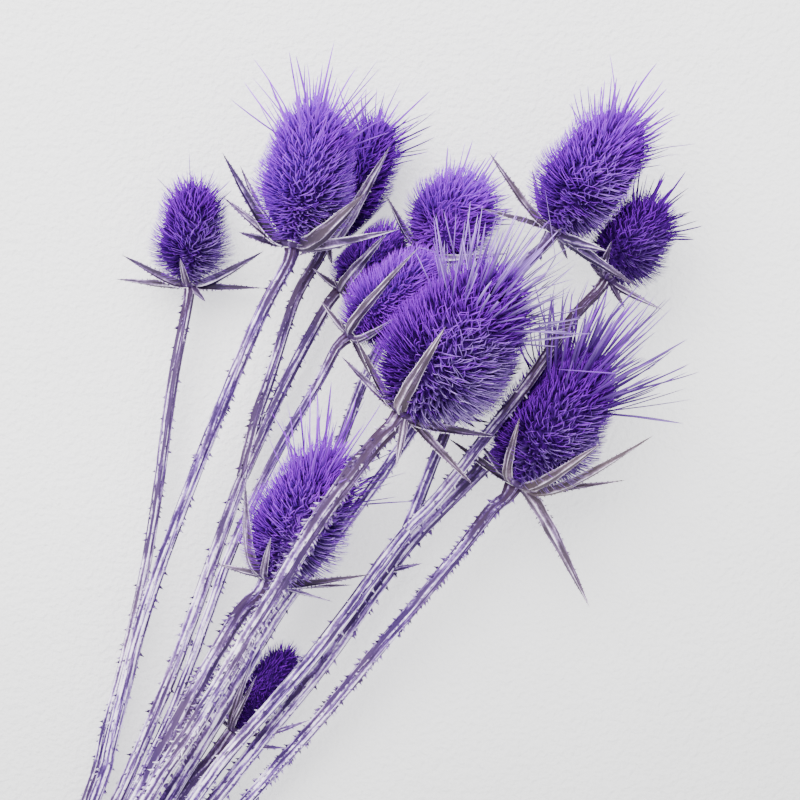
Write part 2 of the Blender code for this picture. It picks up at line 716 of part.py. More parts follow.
def tie_outline(grow):
    """The outline of all stems at the tie, grown outwards: across it, and height."""
    points = []
    for stem in STEMS.values():
        x, z = stem.slot * PITCH, LOWEST_ROW + stem.row * ROW_RISE
        for a in np.arange(12) * math.pi / 6:
            points.append(
                (round(x + (STEM_AT_TIE + grow) * math.cos(a), 4),
                 round(z + (STEM_AT_TIE + grow) * math.sin(a), 4))
            )
    return hull(points)


def tie_object():
    """A flat band round all the stems."""
    way = np.array([*TIE_WAY, 0]) / np.linalg.norm(TIE_WAY)
    side = np.array([way[1], -way[0], 0])
    middle = np.array([*TIE_PLACE, 0]) - BUNCH_MIDDLE
    inner, outer = tie_outline(SEAT_GAP), tie_outline(SEAT_GAP + TIE_WALL)
    loops = []
    for along in (-TIE_WIDTH / 2, TIE_WIDTH / 2):
        for outline in (inner, outer):
            loops.append([middle + way * along + side * x + np.array([0, 0, z]) for x, z in outline])
    count = len(inner)
    points = [p for loop in loops for p in loop]
    faces = []
    for i in range(count):
        j = (i + 1) % count
        near_in, near_out, far_in, far_out = (k * count for k in range(4))
        faces += [
            (near_in + j, near_in + i, near_out + i, near_out + j),
            (far_in + i, far_in + j, far_out + j, far_out + i),
            (near_out + j, near_out + i, far_out + i, far_out + j),
            (near_in + i, near_in + j, far_in + j, far_in + i),
        ]
    finished(mesh_object("tie", points, faces), "tie", RAFFIA, 0.8)


def main():
    for thing in list(bpy.data.objects):
        bpy.data.objects.remove(thing)
    for number in HEADS:
        head_object(number)
        bracts_object(number)
    for number in STEMS:
        stem_object(number)
    tie_object()


main()
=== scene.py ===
import collections
import math

import bpy
import numpy as np
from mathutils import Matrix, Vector


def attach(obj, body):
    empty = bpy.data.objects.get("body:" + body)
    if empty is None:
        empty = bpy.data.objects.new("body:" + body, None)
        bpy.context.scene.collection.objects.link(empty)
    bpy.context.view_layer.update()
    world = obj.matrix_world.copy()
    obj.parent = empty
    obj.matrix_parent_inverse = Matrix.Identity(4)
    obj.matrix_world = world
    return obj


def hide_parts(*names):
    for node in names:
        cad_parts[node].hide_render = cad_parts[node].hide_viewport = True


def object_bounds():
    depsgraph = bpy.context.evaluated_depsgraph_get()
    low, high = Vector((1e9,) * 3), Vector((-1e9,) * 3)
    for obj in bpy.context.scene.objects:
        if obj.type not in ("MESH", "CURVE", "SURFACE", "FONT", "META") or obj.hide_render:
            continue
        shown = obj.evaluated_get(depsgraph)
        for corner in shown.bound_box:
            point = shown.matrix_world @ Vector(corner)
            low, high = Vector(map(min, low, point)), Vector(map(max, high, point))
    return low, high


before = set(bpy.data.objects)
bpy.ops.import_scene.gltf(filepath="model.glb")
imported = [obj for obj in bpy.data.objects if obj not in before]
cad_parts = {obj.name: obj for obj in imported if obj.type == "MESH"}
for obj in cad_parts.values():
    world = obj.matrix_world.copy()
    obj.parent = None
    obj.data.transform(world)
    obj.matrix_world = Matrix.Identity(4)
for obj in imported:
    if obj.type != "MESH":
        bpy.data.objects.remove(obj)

CAD_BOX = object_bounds()

# The looks of a tied bunch of violet teasels, lying down: spiny heads, bracts, ribbed and
# prickly stems, and the raffia round them. Sizes are in millimetres until a mesh is made.
MM = 0.001
UP = np.array([0, 0, 1.0])
# Between a head and its whorl, a whorl and its stem, and the stems and their tie.
SEAT_GAP = 0.3

# Places are seen from above: x to the right and y away from the cut ends, from the middle of
# the fan, as they look at MID_HEIGHT from VIEW_HEIGHT over it. z is the height over the surface.
MID_HEIGHT = 30
VIEW_HEIGHT = 1100
VIEW_WIDTH = 400
SENSOR = 36
BUNCH_MIDDLE = np.array([-50.3, -115.3, 0.0])

# base and tip are the ends of the body's axis, girth its greatest radius without spines.
Head = collections.namedtuple("Head", "base tip girth spine top_spine")
HEADS = {
    1: Head((-105.5, 59.5, 19), (-103, 104, 20), 13, 9.5, 19),
    2: Head((-53.5, 79.5, 54), (-40.5, 143, 58), 18, 9, 40),
    3: Head((-36.5, 80, 21), (-10, 136, 22), 14, 9, 34),
    4: Head((-28, 56, 20), (-1, 82, 19), 13.5, 7, 10),
    5: Head((-23.5, 33.5, 47), (15, 68, 48), 13.5, 8, 12),
    6: Head((-65, -87.5, 40), (-33, -31, 41), 18.5, 10.5, 40),
    7: Head((11, 77.5, 26), (38.5, 104.5, 30), 17.5, 10, 24),
    8: Head((2.5, -5, 71), (49, 56, 75), 24, 11, 42),
    9: Head((78, 86, 50), (112.5, 137.5, 54), 18, 10, 37),
    10: Head((-82, -163, 14), (-55.5, -127, 14), 10, 5.5, 9),
    11: Head((30, -4.5, 30), (52.5, 25, 31), 11, 5.5, 10),
    12: Head((104.5, 62.5, 44), (127.5, 95, 40), 14.5, 8, 28),
    13: Head((53, -23, 13), (75.5, -2.5, 12), 8, 4.5, 7),
    14: Head((58.5, -40, 42), (93.5, 17.5, 44), 21, 10, 52),
}

# Each bract: the place of its tip, its greatest width, and how beige it has dried.
BRACTS = {
    1: [((-139, 72.5, 22), 5, 0.2), ((-142.5, 60.5, 15), 4, 0.4), ((-68, 74.5, 20), 5, 0.3),
        ((-68, 56, 14), 4, 0.5), ((-110, 71, 38), 3, 0.3), ((-97, 49, 28), 3, 0.3)],
    2: [((-89, 124, 62), 5, 0.2), ((-80, 117.5, 46), 4, 0.3), ((-88.5, 101.5, 57), 5, 0.4),
        ((-81, 84, 48), 4, 0.3), ((-17.5, 103.5, 80), 7, 0.5), ((0, 85.5, 66), 5, 0.4)],
    3: [((-4.5, 127.5, 48), 7, 0.4), ((-54, 104, 16), 4, 0.2), ((-34, 68, 44), 4, 0.3),
        ((-51, 72, 4), 4, 0.3)],
    4: [((-6, 84, 47), 6, 0.2), ((-12, 44, 14), 4, 0.3), ((-20, 36, 24), 3, 0.2),
        ((-44, 66, 31), 4, 0.2)],
    5: [((9.5, 76.5, 76), 5, 0.3), ((-2, 41, 62), 4, 0.2), ((-14, 10, 50), 3, 0.3),
        ((-40, 50, 52), 4, 0.3)],
    6: [((-77.5, -40, 54), 6, 0.5), ((-64.5, -68.5, 68), 4, 0.4), ((-13.5, -87, 48), 5, 0.5),
        ((-23.5, -92.5, 38), 4, 0.4), ((-33, -101, 42), 3, 0.2), ((-92, -82, 36), 4, 0.5)],
    7: [((-7, 102.5, 40), 5, 0.2), ((54.5, 73.5, 44), 5, 0.2), ((24, 56, 12), 4, 0.3),
        ((46, 86, 10), 4, 0.3)],
    8: [((23, 37, 110), 7, 0.8), ((50, -18.5, 76), 6, 0.5), ((-22.5, 32, 76), 5, 0.4),
        ((-29.5, 22, 62), 5, 0.3), ((37, -43, 62), 5, 0.4), ((-2, -34, 90), 4, 0.5),
        ((22, -24, 48), 4, 0.3)],
    9: [((44.5, 124, 54), 5, 0.4), ((39.5, 96, 46), 4, 0.3), ((103.5, 74.5, 70), 6, 0.2),
        ((118, 57, 70), 6, 0.1), ((84, 70, 24), 4, 0.3), ((66, 116, 22), 4, 0.3)],
    10: [((-74, -130, 38), 4, 0.3), ((-71.5, -137.5, 37), 3, 0.3), ((-96, -152, 16), 3, 0.4),
         ((-61, -167, 9), 3, 0.4)],
    11: [((51.5, 3.5, 45), 3, 0.3), ((45.5, -11.5, 32), 3, 0.3), ((20, 8, 20), 3, 0.2),
         ((38, -14, 18), 3, 0.2)],
    12: [((106, 80, 58), 4, 0.3), ((112.5, 45.5, 42), 4, 0.3), ((131.5, 45, 44), 4, 0.2),
         ((92, 76, 30), 4, 0.3)],
    13: [((66, -32, 8), 3, 0.3), ((45, -8, 10), 3, 0.3), ((58, 0, 9), 3, 0.3)],
    14: [((60, -8.5, 70), 5, 0.9), ((101.5, -21, 74), 6, 0.7), ((127, -17.5, 50), 6, 0.9),
         ((113.5, -40, 34), 5, 0.8), ((95, -104, 34), 7, 0.5), ((39, -20, 40), 5, 0.3),
         ((24, -19, 38), 5, 0.4)],
}

# Scraps of leaf on the stems: the places of each one's root and tip, and its width.
SCRAPS = {
    10: [((-5, -85, 21), (11.5, -81.5, 24), 3), ((-63, -166, 22), (-45, -160, 26), 3),
         ((-70, -173, 21), (-56.5, -174, 24), 2.5)],
}

# The tie, and where each stem lies in it: rows of stems side by side, each row in the hollows
# of the one below.
TIE_PLACE = np.array([-190.0, -315.0])
TIE_WAY = np.array([0.51, 0.86, 0]) / math.hypot(0.51, 0.86)
TIE_SIDE = np.array([TIE_WAY[1], -TIE_WAY[0], 0])
CUT_BELOW_TIE = 90
PITCH = 7.0
STEM_AT_TIE = 3.35
LOWEST_ROW = 5.25
ROW_RISE = PITCH * math.sqrt(0.75)
TIE_WIDTH = 13
TIE_WALL = 1.6
TIE_TURNS = 6
RAFFIA_STREAKS = 0.06

# slot is how many pitches the stem lies from the tie's middle, row its row. trunk goes from
# the tie up, and each arm goes from the trunk's end to the head it names.
Stem = collections.namedtuple("Stem", "slot row radius cut trunk arms")
STEMS = {
    1: Stem(-2, 0, 2.3, -4, [(-155.5, -196, 8), (-148.5, -170.5, 9), (-134.5, -120, 11),
            (-126.5, -82, 12), (-121, -47.5, 13), (-113.5, 10, 15)], {1: []}),
    2: Stem(-1.5, 1, 2.8, 3, [(-151, -196, 16), (-145, -174.5, 18), (-138, -149, 21),
            (-131.5, -114.5, 24), (-121, -85.5, 27), (-105, -43.5, 33), (-84.5, 10, 41),
            (-68.5, 45, 47)], {2: []}),
    3: Stem(-1, 0, 2.9, 6, [(-141.5, -200, 9), (-132, -179, 10), (-113, -136, 12),
            (-103, -106, 13), (-89, -66.5, 14.5), (-77, -34, 16)],
            {3: [(-71.5, -7.5, 17), (-65.5, 10, 18), (-52.5, 50, 20)], 4: [(-56.5, 10, 18)]}),
    4: Stem(0, 0, 2.0, -2, [(-135, -200, 9.5), (-115, -162, 13), (-102, -123, 17),
            (-94.5, -106, 18.5), (-87.5, -80, 20), (-76.5, -57, 22), (-59.5, -20, 29),
            (-40, 10, 38)], {5: []}),
    5: Stem(-0.5, 1, 3.4, 8, [(-131.5, -200, 19), (-114, -166, 24), (-97, -135, 29),
            (-79.5, -106, 35)], {6: []}),
    6: Stem(0, 2, 3.7, -6, [(-127, -200, 28), (-102.5, -164, 36), (-85, -133.5, 45),
            (-75.5, -116.5, 50), (-64, -99, 55), (-54.5, -83.5, 61), (-47, -68.5, 65),
            (-27, -40, 69.5), (-11, -20.5, 70.5)], {8: []}),
    7: Stem(0.5, 1, 3.3, 2, [(-116.5, -200, 15), (-96, -166.5, 21), (-79, -140, 24.5),
            (-69, -119, 25)],
            {9: [(-54.5, -98, 27), (-15.5, -46.5, 34), (7.5, -12.5, 39), (35, 29, 42),
                 (60, 65, 46)],
             7: [(-61, -92, 19), (-50, -62, 15.5), (-37, -40, 15.5), (-18, 10, 19),
                 (1, 52, 23)]}),
    8: Stem(1, 0, 3.0, -8, [(-110, -200, 9), (-94.5, -180, 11)], {10: []}),
    9: Stem(1, 2, 3.0, 5, [(-103, -200, 25), (-87, -176.5, 29), (-72, -161, 31),
            (-49, -136, 33), (-26, -107, 35), (-3.5, -73, 37), (7, -61, 38)],
            {11: [(15, -35, 34), (22, -18, 32)],
             12: [(21, -46.5, 42), (43.5, -17.5, 51), (63.5, 8, 56), (86, 40.5, 51)]}),
    10: Stem(1.5, 1, 3.3, -3, [(-92.5, -200, 16), (-67, -166, 20.5), (-41, -137.5, 22),
             (-18, -104.5, 21), (3, -69.5, 19), (28, -47, 16)], {13: []}),
    11: Stem(2, 0, 2.8, 4, [(-72, -195, 15), (-41, -162, 20), (-14.5, -127.5, 26),
             (10.5, -100, 30), (35, -69.5, 35), (46.5, -54, 38)], {14: []}),
}

# A head's body is widest at WIDEST of its length. Its seat is flat, and its round top would be
# TOP_SHARE long if it ran on to a point. Its top is fuller than its solid's.
WIDEST = 0.44
SEAT_SHARE = 0.4
SEAT_ROUNDNESS = 0.9
TOP_SHARE = 0.59
TOP_ROUNDNESS = 3.0
SOLID_ROUNDNESS = 2.4
USUAL_GIRTH = 18
DOME_RISE = 0.12
BODY_SINK = 2.4
CORE_SINK = 2.0
LEAST_CORE = 0.5
BODY_ROWS = 26
BODY_COLUMNS = 36
# One spine for each of these square millimetres, and how far each leans at shares of the length.
SPINE_CELL = 3.0
SPINE_LEAN = ((0, 0.1, 0.2, 0.5, 0.8, 1), (0.3, 0.22, 0.2, 0.36, 0.45, 0.2))
SPINE_HALF = 0.5
SPINE_TWIST = 0.4
# Spines at the seat are this share of the longest, and from GROWN_FROM of the length on some
# are up to TOP_GROWTH longer.
SHORTEST_SPINE = 0.64
GROWN_FROM = 0.6
TOP_GROWTH = 0.7
LONGER = 1.15
TRIMMED = 0.6
# A spine bends at its elbow and curls aside, more in wild patches and where it is frosted.
ELBOW = 0.55
CURL = 0.22
WILD_CURL = 0.15
FROST_CURL = 0.25
SWAY = 0.1
GOLDEN_ANGLE = math.pi * (3 - math.sqrt(5))
# How far to either side of a root the slope of the body is taken.
SLOPE_STEP = 0.6
# A few blades are kinked, from this share of their length on.
KINKED = 0.03
KINK_FROM = 0.6
# The tuft of long blades at the tip: where it begins, how many there are and how wide they are.
TUFT_FROM = 0.72
BLADE_HALF = 0.68
BLADE_TWIST = 0.7
BLADE_SCATTER = 0.12
OUTER_BLADE = 0.86
# Each head's tuft: its count of blades, the shortest and longest of them as a share of the
# head's top spine, how much wider they are, how white, and how far drawn to the axis.
Tuft = collections.namedtuple("Tuft", "count least most wider white drawn")
TUFTS = {
    1: Tuft(44, 0.4, 1.1, 0.9, 0.0, 0.7),
    2: Tuft(54, 0.4, 1.05, 1.0, 0.1, 1.2),
    3: Tuft(50, 0.5, 1.05, 1.0, 0.0, 0.8),
    6: Tuft(60, 0.5, 1.1, 1.0, 0.1, 1.2),
    7: Tuft(50, 0.5, 1.05, 1.0, 0.3, 0.8),
    8: Tuft(120, 0.55, 1.15, 0.88, 0.5, 1.0),
    9: Tuft(52, 0.45, 0.95, 1.0, 0.1, 0.9),
    14: Tuft(116, 0.5, 1.12, 1.15, 0.2, 1.3),
}
TUFT_ELSE = Tuft(42, 0.5, 1.0, 1.0, 0.0, 0.7)
# How much deeper some heads are dyed, and how much darker each is painted at its seat than higher up,
# partly deeper dye and partly painted shade.
DEEPER = {1: 0.9, 3: 0.5, 4: 0.3, 6: 0.4, 8: 1.1, 9: 0.4, 10: 1.6, 11: 0.8, 12: 1.7, 13: 0.5,
          14: 1.2}
SEAT_DYE_AND_SHADE = 0.7
# How white the thin curls over the dark gaps low on some heads are, and how far up they go.
FROSTED = {1: 0.6, 2: 0.5, 6: 0.8, 8: 0.9, 9: 0.6, 12: 0.3, 14: 0.6}
FROST_TO = 0.75
# The side of each head that is painted darker, as painted shade away from the light, and how much
# darker it is there.
SHADED_SIDE = np.array([0.76, -0.65, 0.0])
SIDE_PAINTED_SHADE = 1.3
# A spine's or blade's places along it, its half width at each, and its section across and
# into it: its left edge, keel, right edge and, in a blade, its hollow.
Form = collections.namedtuple("Form", "places widths section edges")
SPINE = Form(
    np.array([0, 0.2, 0.42, 0.68, 0.9]),
    np.array([1.9, 1.5, 0.64, 0.42, 0.25]),
    np.array([(-1, 0.3), (0, -0.6), (1, 0.3)]),
    np.array([1.0, 0.2, 1.0]),
)
BLADE = Form(
    np.array([0, 0.12, 0.28, 0.46, 0.64, 0.8, 0.93]),
    np.array([0.9, 1.0, 0.94, 0.86, 0.74, 0.56, 0.3]),
    np.array([(-1, 0.3), (0, -0.6), (1, 0.3), (0, -0.15)]),
    np.array([1.0, 0.4, 1.0, 0.0]),
)
# What lies against a head bends its surface, softly, over these distances and to these gaps.
HEAD_GAP = 0.7
HEAD_SOFT = 3.0
HEAD_FADE = 8
BLADE_STIFF = 0.7
STEM_GAP = 0.5
STEM_SOFT = 2.5
STEM_FADE = 3
STEM_ASIDE = 5
STEM_PAST = 6
BRACT_GAP = 1.0
# A spine that would cross a bract is cut short of it, but never to less than LEAST_LEFT.
CROSS_GAP = 0.7
CUT_SHORT = 0.08
LEAST_LEFT = 0.12
FLOOR_GAP = 0.15
FLOOR_SOFT = 2.5

# The whorl is a cup under the head, with bracts rooted in it. A bract first bends out along the
# seat, only as far as it must to clear the head's body, and is nearly straight after that.
WHORL_THICK = 3.0
WHORL_SHARE = 0.36
WHORL_LEAST = 4
BRACT_ROOT = 0.45
BRACT_WIDTHS = (0.8, 1.0, 0.92, 0.7, 0.4, 0.16, 0.03)
BRACT_PLACES = (0, 0.15, 0.4, 0.6, 0.8, 0.93, 1)
BRACT_SOLID_PLACES = (0, 0.25, 0.5, 0.76, 1)
BRACT_BENDS = np.arange(0.2, 1.15, 0.05)
ROOT_PULL = 0.9
TIP_PULL = 0.75
BODY_CLEAR = 1.8
BRACT_KEEL = 0.45
BRACT_RINGS = 18
BRACT_TWIST = 0.3
BRACT_STREAKS = 0.09
# How far from its root a bract is soaked, and how far apart the prickles of its edges are.
BRACT_SOAKED = 9
EDGE_PRICKLE_STEP = 2.6
# How far a bract's broad side is turned to face up or down instead of the head.
BROAD_TURN = 1.5
# How much broader some heads' bracts are than the table has them.
BROADER = {1: 1.2, 2: 1.35}

# A stem has ribs along it, which carry its prickles.
STEM_SIDES = 28
STEM_RIBS = 7
RIB_DEPTH = 0.1
RIB_TWIST = 0.004
STEM_STEP = 4.0
STEM_STREAKS = 0.07
CUT_RIM = 0.72
CUT_DISH = 0.9
SQUARE_END = 7
ARM_SUNK = 5
FORK_TAPER = 0.35
FORK_RUN = 9
FORK_VIOLET = 0.3
WHORL_FLARE = 0.55
SCRAP_RISE = 1.0
FLARE_LENGTH = 9
THICKEST_ARM = 2.6
ARM_TAPER = 0.12
TAPER_LENGTH = 30
# How much thicker a stem is past the tie than its solid.
SWOLLEN = 0.6
# How far down from its head a stem is more violet.
VIOLET_RUN = 190
PRICKLE_HEIGHT = 1.7
LONG_PRICKLE = 2.5
PRICKLE_LEAN = 0.35
PRICKLE_RIDGES = np.array([0.4, 0.6])
# How far below its head a stem is soaked with dye, and how strongly, by head.
SOAKED = {8: (110, 0.9), 12: (150, 1.3), 6: (45, 0.7), 14: (60, 0.9), 1: (40, 0.8), 3: (60, 0.8)}
SOAKED_ELSE = (40, 0.8)
PRICKLES_PER_MM = 1.0
# Most stems are more or less prickly than that, by number, arms by 100 and their head's number.
PRICKLIER = {1: 0.6, 2: 0.7, 3: 0.7, 4: 0.5, 5: 1.5, 6: 1.6, 7: 0.4, 8: 0.6, 9: 0.5, 10: 0.6,
             11: 1.8, 104: 0.9, 107: 0.7, 109: 0.6, 111: 0.5, 112: 0.8}

# What the bunch lies on, in metres: how far it reaches, and how far it is under the bunch.
PLASTER_REACH = 7.0
PLASTER_DROP = 0.0004


def unit(vectors):
    """Each vector, made one long."""
    vectors = np.asarray(vectors, float)
    return vectors / np.maximum(np.linalg.norm(vectors, axis=-1, keepdims=True), 1e-9)


def placed(point):
    """Where a point seen from above really is, from the middle of the whole bunch."""
    x, y, z = point
    nearer = 1 - (z - MID_HEIGHT) / VIEW_HEIGHT
    return np.array([x * nearer, y * nearer, z]) - BUNCH_MIDDLE


def axis_of(head):
    """The head's base, the way its axis points, and its length."""
    base, tip = placed(head.base), placed(head.tip)
    return base, unit(tip - base), np.linalg.norm(tip - base)


def across(way):
    """Two unit vectors at right angles to way and to each other, the second one upwards."""
    side = unit(np.cross((0, 0, 1), way))
    return side, np.cross(way, side)


def smooth_path(points, step):
    """Points about a step apart on a smooth curve through the given ones."""
    points = [np.array(p, float) for p in points]
    padded = [2 * points[0] - points[1], *points, 2 * points[-1] - points[-2]]
    path = []
    for i in range(1, len(padded) - 2):
        before, start, end, after = padded[i - 1 : i + 3]
        pieces = max(1, round(np.linalg.norm(end - start) / step))
        for t in np.arange(pieces) / pieces:
            path.append(
                start
                + 0.5 * t * (end - before)
                + t**2 * (before - 2.5 * start + 2 * end - 0.5 * after)
                + 0.5 * t**3 * (after - before + 3 * start - 3 * end)
            )
    return np.array([*path, points[-1]])


def smooth_step(x):
    """Rises smoothly from 0 to 1 as x does."""
    x = np.clip(x, 0, 1)
    return x * x * (3 - 2 * x)


def round_turn(count):
    """Angles evenly round a circle."""
    return np.arange(count) * 2 * math.pi / count


def run_along(path):
    """How far each point of a path is along it."""
    return np.append(0, np.cumsum(np.linalg.norm(np.diff(path, axis=0), axis=1)))


def bowed(start, middle, end, t):
    """Points at t along the curve that sets out for middle and turns to end."""
    return (1 - t) ** 2 * start + 2 * t * (1 - t) * middle + t**2 * end


def round_line(side, up, turn):
    """Directions at angles round a line, from side towards up."""
    return np.cos(turn)[..., None] * side + np.sin(turn)[..., None] * up


def turned(side, inner, angle):
    """Two directions across a line, both turned round it."""
    cos, sin = np.cos(angle), np.sin(angle)
    return side * cos + inner * sin, inner * cos - side * sin


def nearest_on(start, end, points):
    """For each point, the nearest one on a straight line from start to end."""
    way = end - start
    share = np.clip((points - start) @ way / (way @ way), 0, 1)
    return start + share[:, None] * way


def nearest_pair(a0, a1, b0, b1):
    """The nearest two points of two straight lines, by sampling."""
    share = np.linspace(0, 1, 41)[:, None]
    on_a = a0 + share * (a1 - a0)
    on_b = nearest_on(b0, b1, on_a)
    best = np.argmin(np.linalg.norm(on_a - on_b, axis=1))
    return on_a[best], on_b[best]


def linked(name, data):
    """A new object in the scene, which shows the data."""
    made = bpy.data.objects.new(name, data)
    bpy.context.scene.collection.objects.link(made)
    return made


class Growth:
    """Gathers the surface of one piece: its points, its faces, and what each point carries."""

    def __init__(self, *values):
        self.points = []
        self.quads = []
        self.triangles = []
        self.values = {name: [] for name in values}
        self.count = 0

    def lofts(self, rings, tips, starts=None, **values):
        """Closed tapering pieces through rings[piece, place, point], each drawn to its tip."""
        pieces, places, sides, _ = rings.shape
        ends = 1 if starts is None else 2
        first = self.count + np.arange(pieces) * (places * sides + ends)
        index = first[:, None, None] + np.arange(places * sides).reshape(places, sides)
        here, there = index[:, :-1], index[:, 1:]
        turned_here, turned_there = np.roll(here, -1, 2), np.roll(there, -1, 2)
        quads = np.stack([here, turned_here, turned_there, there], -1)
        self.quads.append(quads.reshape(-1, 4))
        tip = np.broadcast_to((first + places * sides)[:, None], (pieces, sides))
        last, root = index[:, -1], index[:, 0]
        self.triangles.append(np.stack([last, np.roll(last, -1, 1), tip], -1).reshape(-1, 3))
        parts = [rings.reshape(pieces, -1, 3), tips[:, None]]
        if starts is not None:
            parts.append(starts[:, None])
            self.triangles.append(np.stack([np.roll(root, -1, 1), root, tip + 1], -1).reshape(-1, 3))
        elif sides == 4:
            self.quads.append(root[:, ::-1])
        else:
            self.triangles.append(root[:, ::-1])
        self.points.append(np.concatenate(parts, 1).reshape(-1, 3))
        for name, gathered in self.values.items():
            value = np.broadcast_to(values.get(name, 0.0), (pieces, places, sides))
            value_parts = [value.reshape(pieces, -1), value[:, -1].mean(1, keepdims=True)]
            if starts is not None:
                value_parts.append(value[:, 0].mean(1, keepdims=True))
            gathered.append(np.concatenate(value_parts, 1).ravel())
        self.count += pieces * (places * sides + ends)

    def piece(self, name, finish, nodes, change=None, sharp=None):
        """Makes the piece's object, which stands for the nodes of the frame."""
        points = np.concatenate(self.points)
        if change:
            points = change(points)
        low, high = (np.array(corner) / MM for corner in CAD_BOX)
        points = np.clip(points, low, high)
        quads, triangles = np.concatenate(self.quads), np.concatenate(self.triangles)
        corners = np.concatenate([quads.ravel(), triangles.ravel()])
        sizes = np.repeat([4, 3], [len(quads), len(triangles)])
        mesh = bpy.data.meshes.new(name)
        mesh.vertices.add(len(points))
        mesh.vertices.foreach_set("co", (points * MM).astype(np.float32).ravel())
        mesh.loops.add(len(corners))
        mesh.loops.foreach_set("vertex_index", corners.astype(np.int32))
        mesh.polygons.add(len(sizes))
        mesh.polygons.foreach_set("loop_start", (np.cumsum(sizes) - sizes).astype(np.int32))
        mesh.update(calc_edges=True)
        mesh.validate()
        mesh.shade_smooth()
        if sharp:
            mesh.set_sharp_from_angle(angle=math.radians(sharp))
        for value, gathered in self.values.items():
            layer = mesh.attributes.new(value, "FLOAT", "POINT")
            layer.data.foreach_set("value", np.concatenate(gathered).astype(np.float32))
        mesh.materials.append(finish)
        made = linked(name, mesh)
        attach(made, "root")
        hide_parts(*nodes)
        return made


# Finishes


class Wire:
    """An output of a node. Sums of wires and numbers become Math nodes."""

    def __init__(self, finish, socket):
        self.finish = finish
        self.socket = socket

    def maths(self, operation, *values):
        return self.finish.node("ShaderNodeMath", {"operation": operation}, dict(enumerate(values)))

    def __add__(self, other):
        return self.maths("ADD", self, other)

    def __mul__(self, other):
        return self.maths("MULTIPLY", self, other)

    def __sub__(self, other):
        return self.maths("SUBTRACT", self, other)

    def __rsub__(self, other):
        return self.maths("SUBTRACT", other, self)

    __radd__ = __add__
    __rmul__ = __mul__


class Finish:
    """A material, with its shader's plain values set and its other nodes added one by one."""

    def __init__(self, name, plain):
        self.material = bpy.data.materials.new(name)
        self.material.use_nodes = True
        self.tree = self.material.node_tree
        self.shader = self.tree.nodes["Principled BSDF"]
        for socket, value in plain.items():
            self.shader.inputs[socket].default_value = value

    def node(self, kind, settings, sockets, output=0):
        """Adds a node: first its settings, then the values or wires of its sockets."""
        made = self.tree.nodes.new(kind)
        for setting, value in settings.items():
            if setting == "stops":
                ramp = made.color_ramp
                while len(ramp.elements) < len(value):
                    ramp.elements.new(1.0)
                for stop, (place, colour) in zip(ramp.elements, value):
                    stop.position = place
                    stop.color = (*colour, 1)
            else:
                setattr(made, setting, value)
        for socket, value in sockets.items():
            if isinstance(value, Wire):
                self.tree.links.new(value.socket, made.inputs[socket])
            else:
                made.inputs[socket].default_value = value
        return Wire(self, made.outputs[output])

    def value_at(self, name):
        """What each point of the mesh carries under a name."""
        return self.node("ShaderNodeAttribute", {"attribute_name": name}, {}, "Fac")

    def noise(self, scale, detail=3.0, vector=None):
        if vector is None:
            vector = self.node("ShaderNodeTexCoord", {}, {}, "Object")
        return self.node("ShaderNodeTexNoise", {}, {"Vector": vector, "Scale": scale, "Detail": detail})

    def ramp(self, factor, stops):
        return self.node("ShaderNodeValToRGB", {"stops": stops}, {"Fac": factor})

    def blend(self, factor, first, second):
        sockets = {0: factor, 6: first, 7: second}
        return self.node("ShaderNodeMix", {"data_type": "RGBA"}, sockets, 2)

    def feed(self, wires):
        """Links wires to the shader's sockets, and gives the material."""
        for socket, wire in wires.items():
            self.tree.links.new(wire.socket, self.shader.inputs[socket])
        return self.material


def clamped(wire):
    """A wire held between 0 and 1."""
    return wire.finish.node("ShaderNodeClamp", {}, {"Value": wire})


def head_finish():
    """Violet dye, darkest at the spines' roots and on the core as painted shade between the spines,
    with painted highlight along the spines' edges and tips.
    """
    finish = Finish("dyed seed head", {"Roughness": 0.75, "Specular IOR Level": 0.06})
    along = finish.value_at("along")
    edge = finish.value_at("edge")
    tint = finish.value_at("tint")
    blade = finish.value_at("blade")
    patches = finish.noise(60.0)
    # The ramp runs from the spines' roots to their tips: its dark end, on the roots and the core, is
    # painted shade between the spines. Blades are painted lighter at their edges and darker in their
    # hollows: painted highlight and painted shade.
    place = clamped(
        along * (0.85 - blade * 0.5) + (edge - 0.4) * blade * 0.35 + blade * 0.12
        + (tint - 0.5) * 0.25 + (patches - 0.5) * 0.25
    )
    dyed = finish.ramp(place, [
        (0.0, (0.04, 0.0, 0.13)),
        (0.12, (0.11, 0.0, 0.31)),
        (0.3, (0.19, 0.0, 0.52)),
        (0.6, (0.30, 0.0, 0.76)),
        (1.0, (0.42, 0.04, 0.96)),
    ])
    # Painted highlight: pale along the spines' edges, growing towards their tips.
    wear_and_highlight = clamped(edge * along * (0.15 + 0.35 * tint + 0.1 * blade))
    colour = finish.blend(wear_and_highlight, dyed, (0.50, 0.11, 1.0, 1))
    frosted = clamped(finish.value_at("frost") * (along * 1.7 - 0.15))
    colour = finish.blend(frosted, colour, (0.58, 0.42, 0.86, 1))
    return finish.feed({"Base Color": colour})


def at_level(colour, level):
    """A darker or lighter colour, with its alpha."""
    return (*(level * part for part in colour), 1)


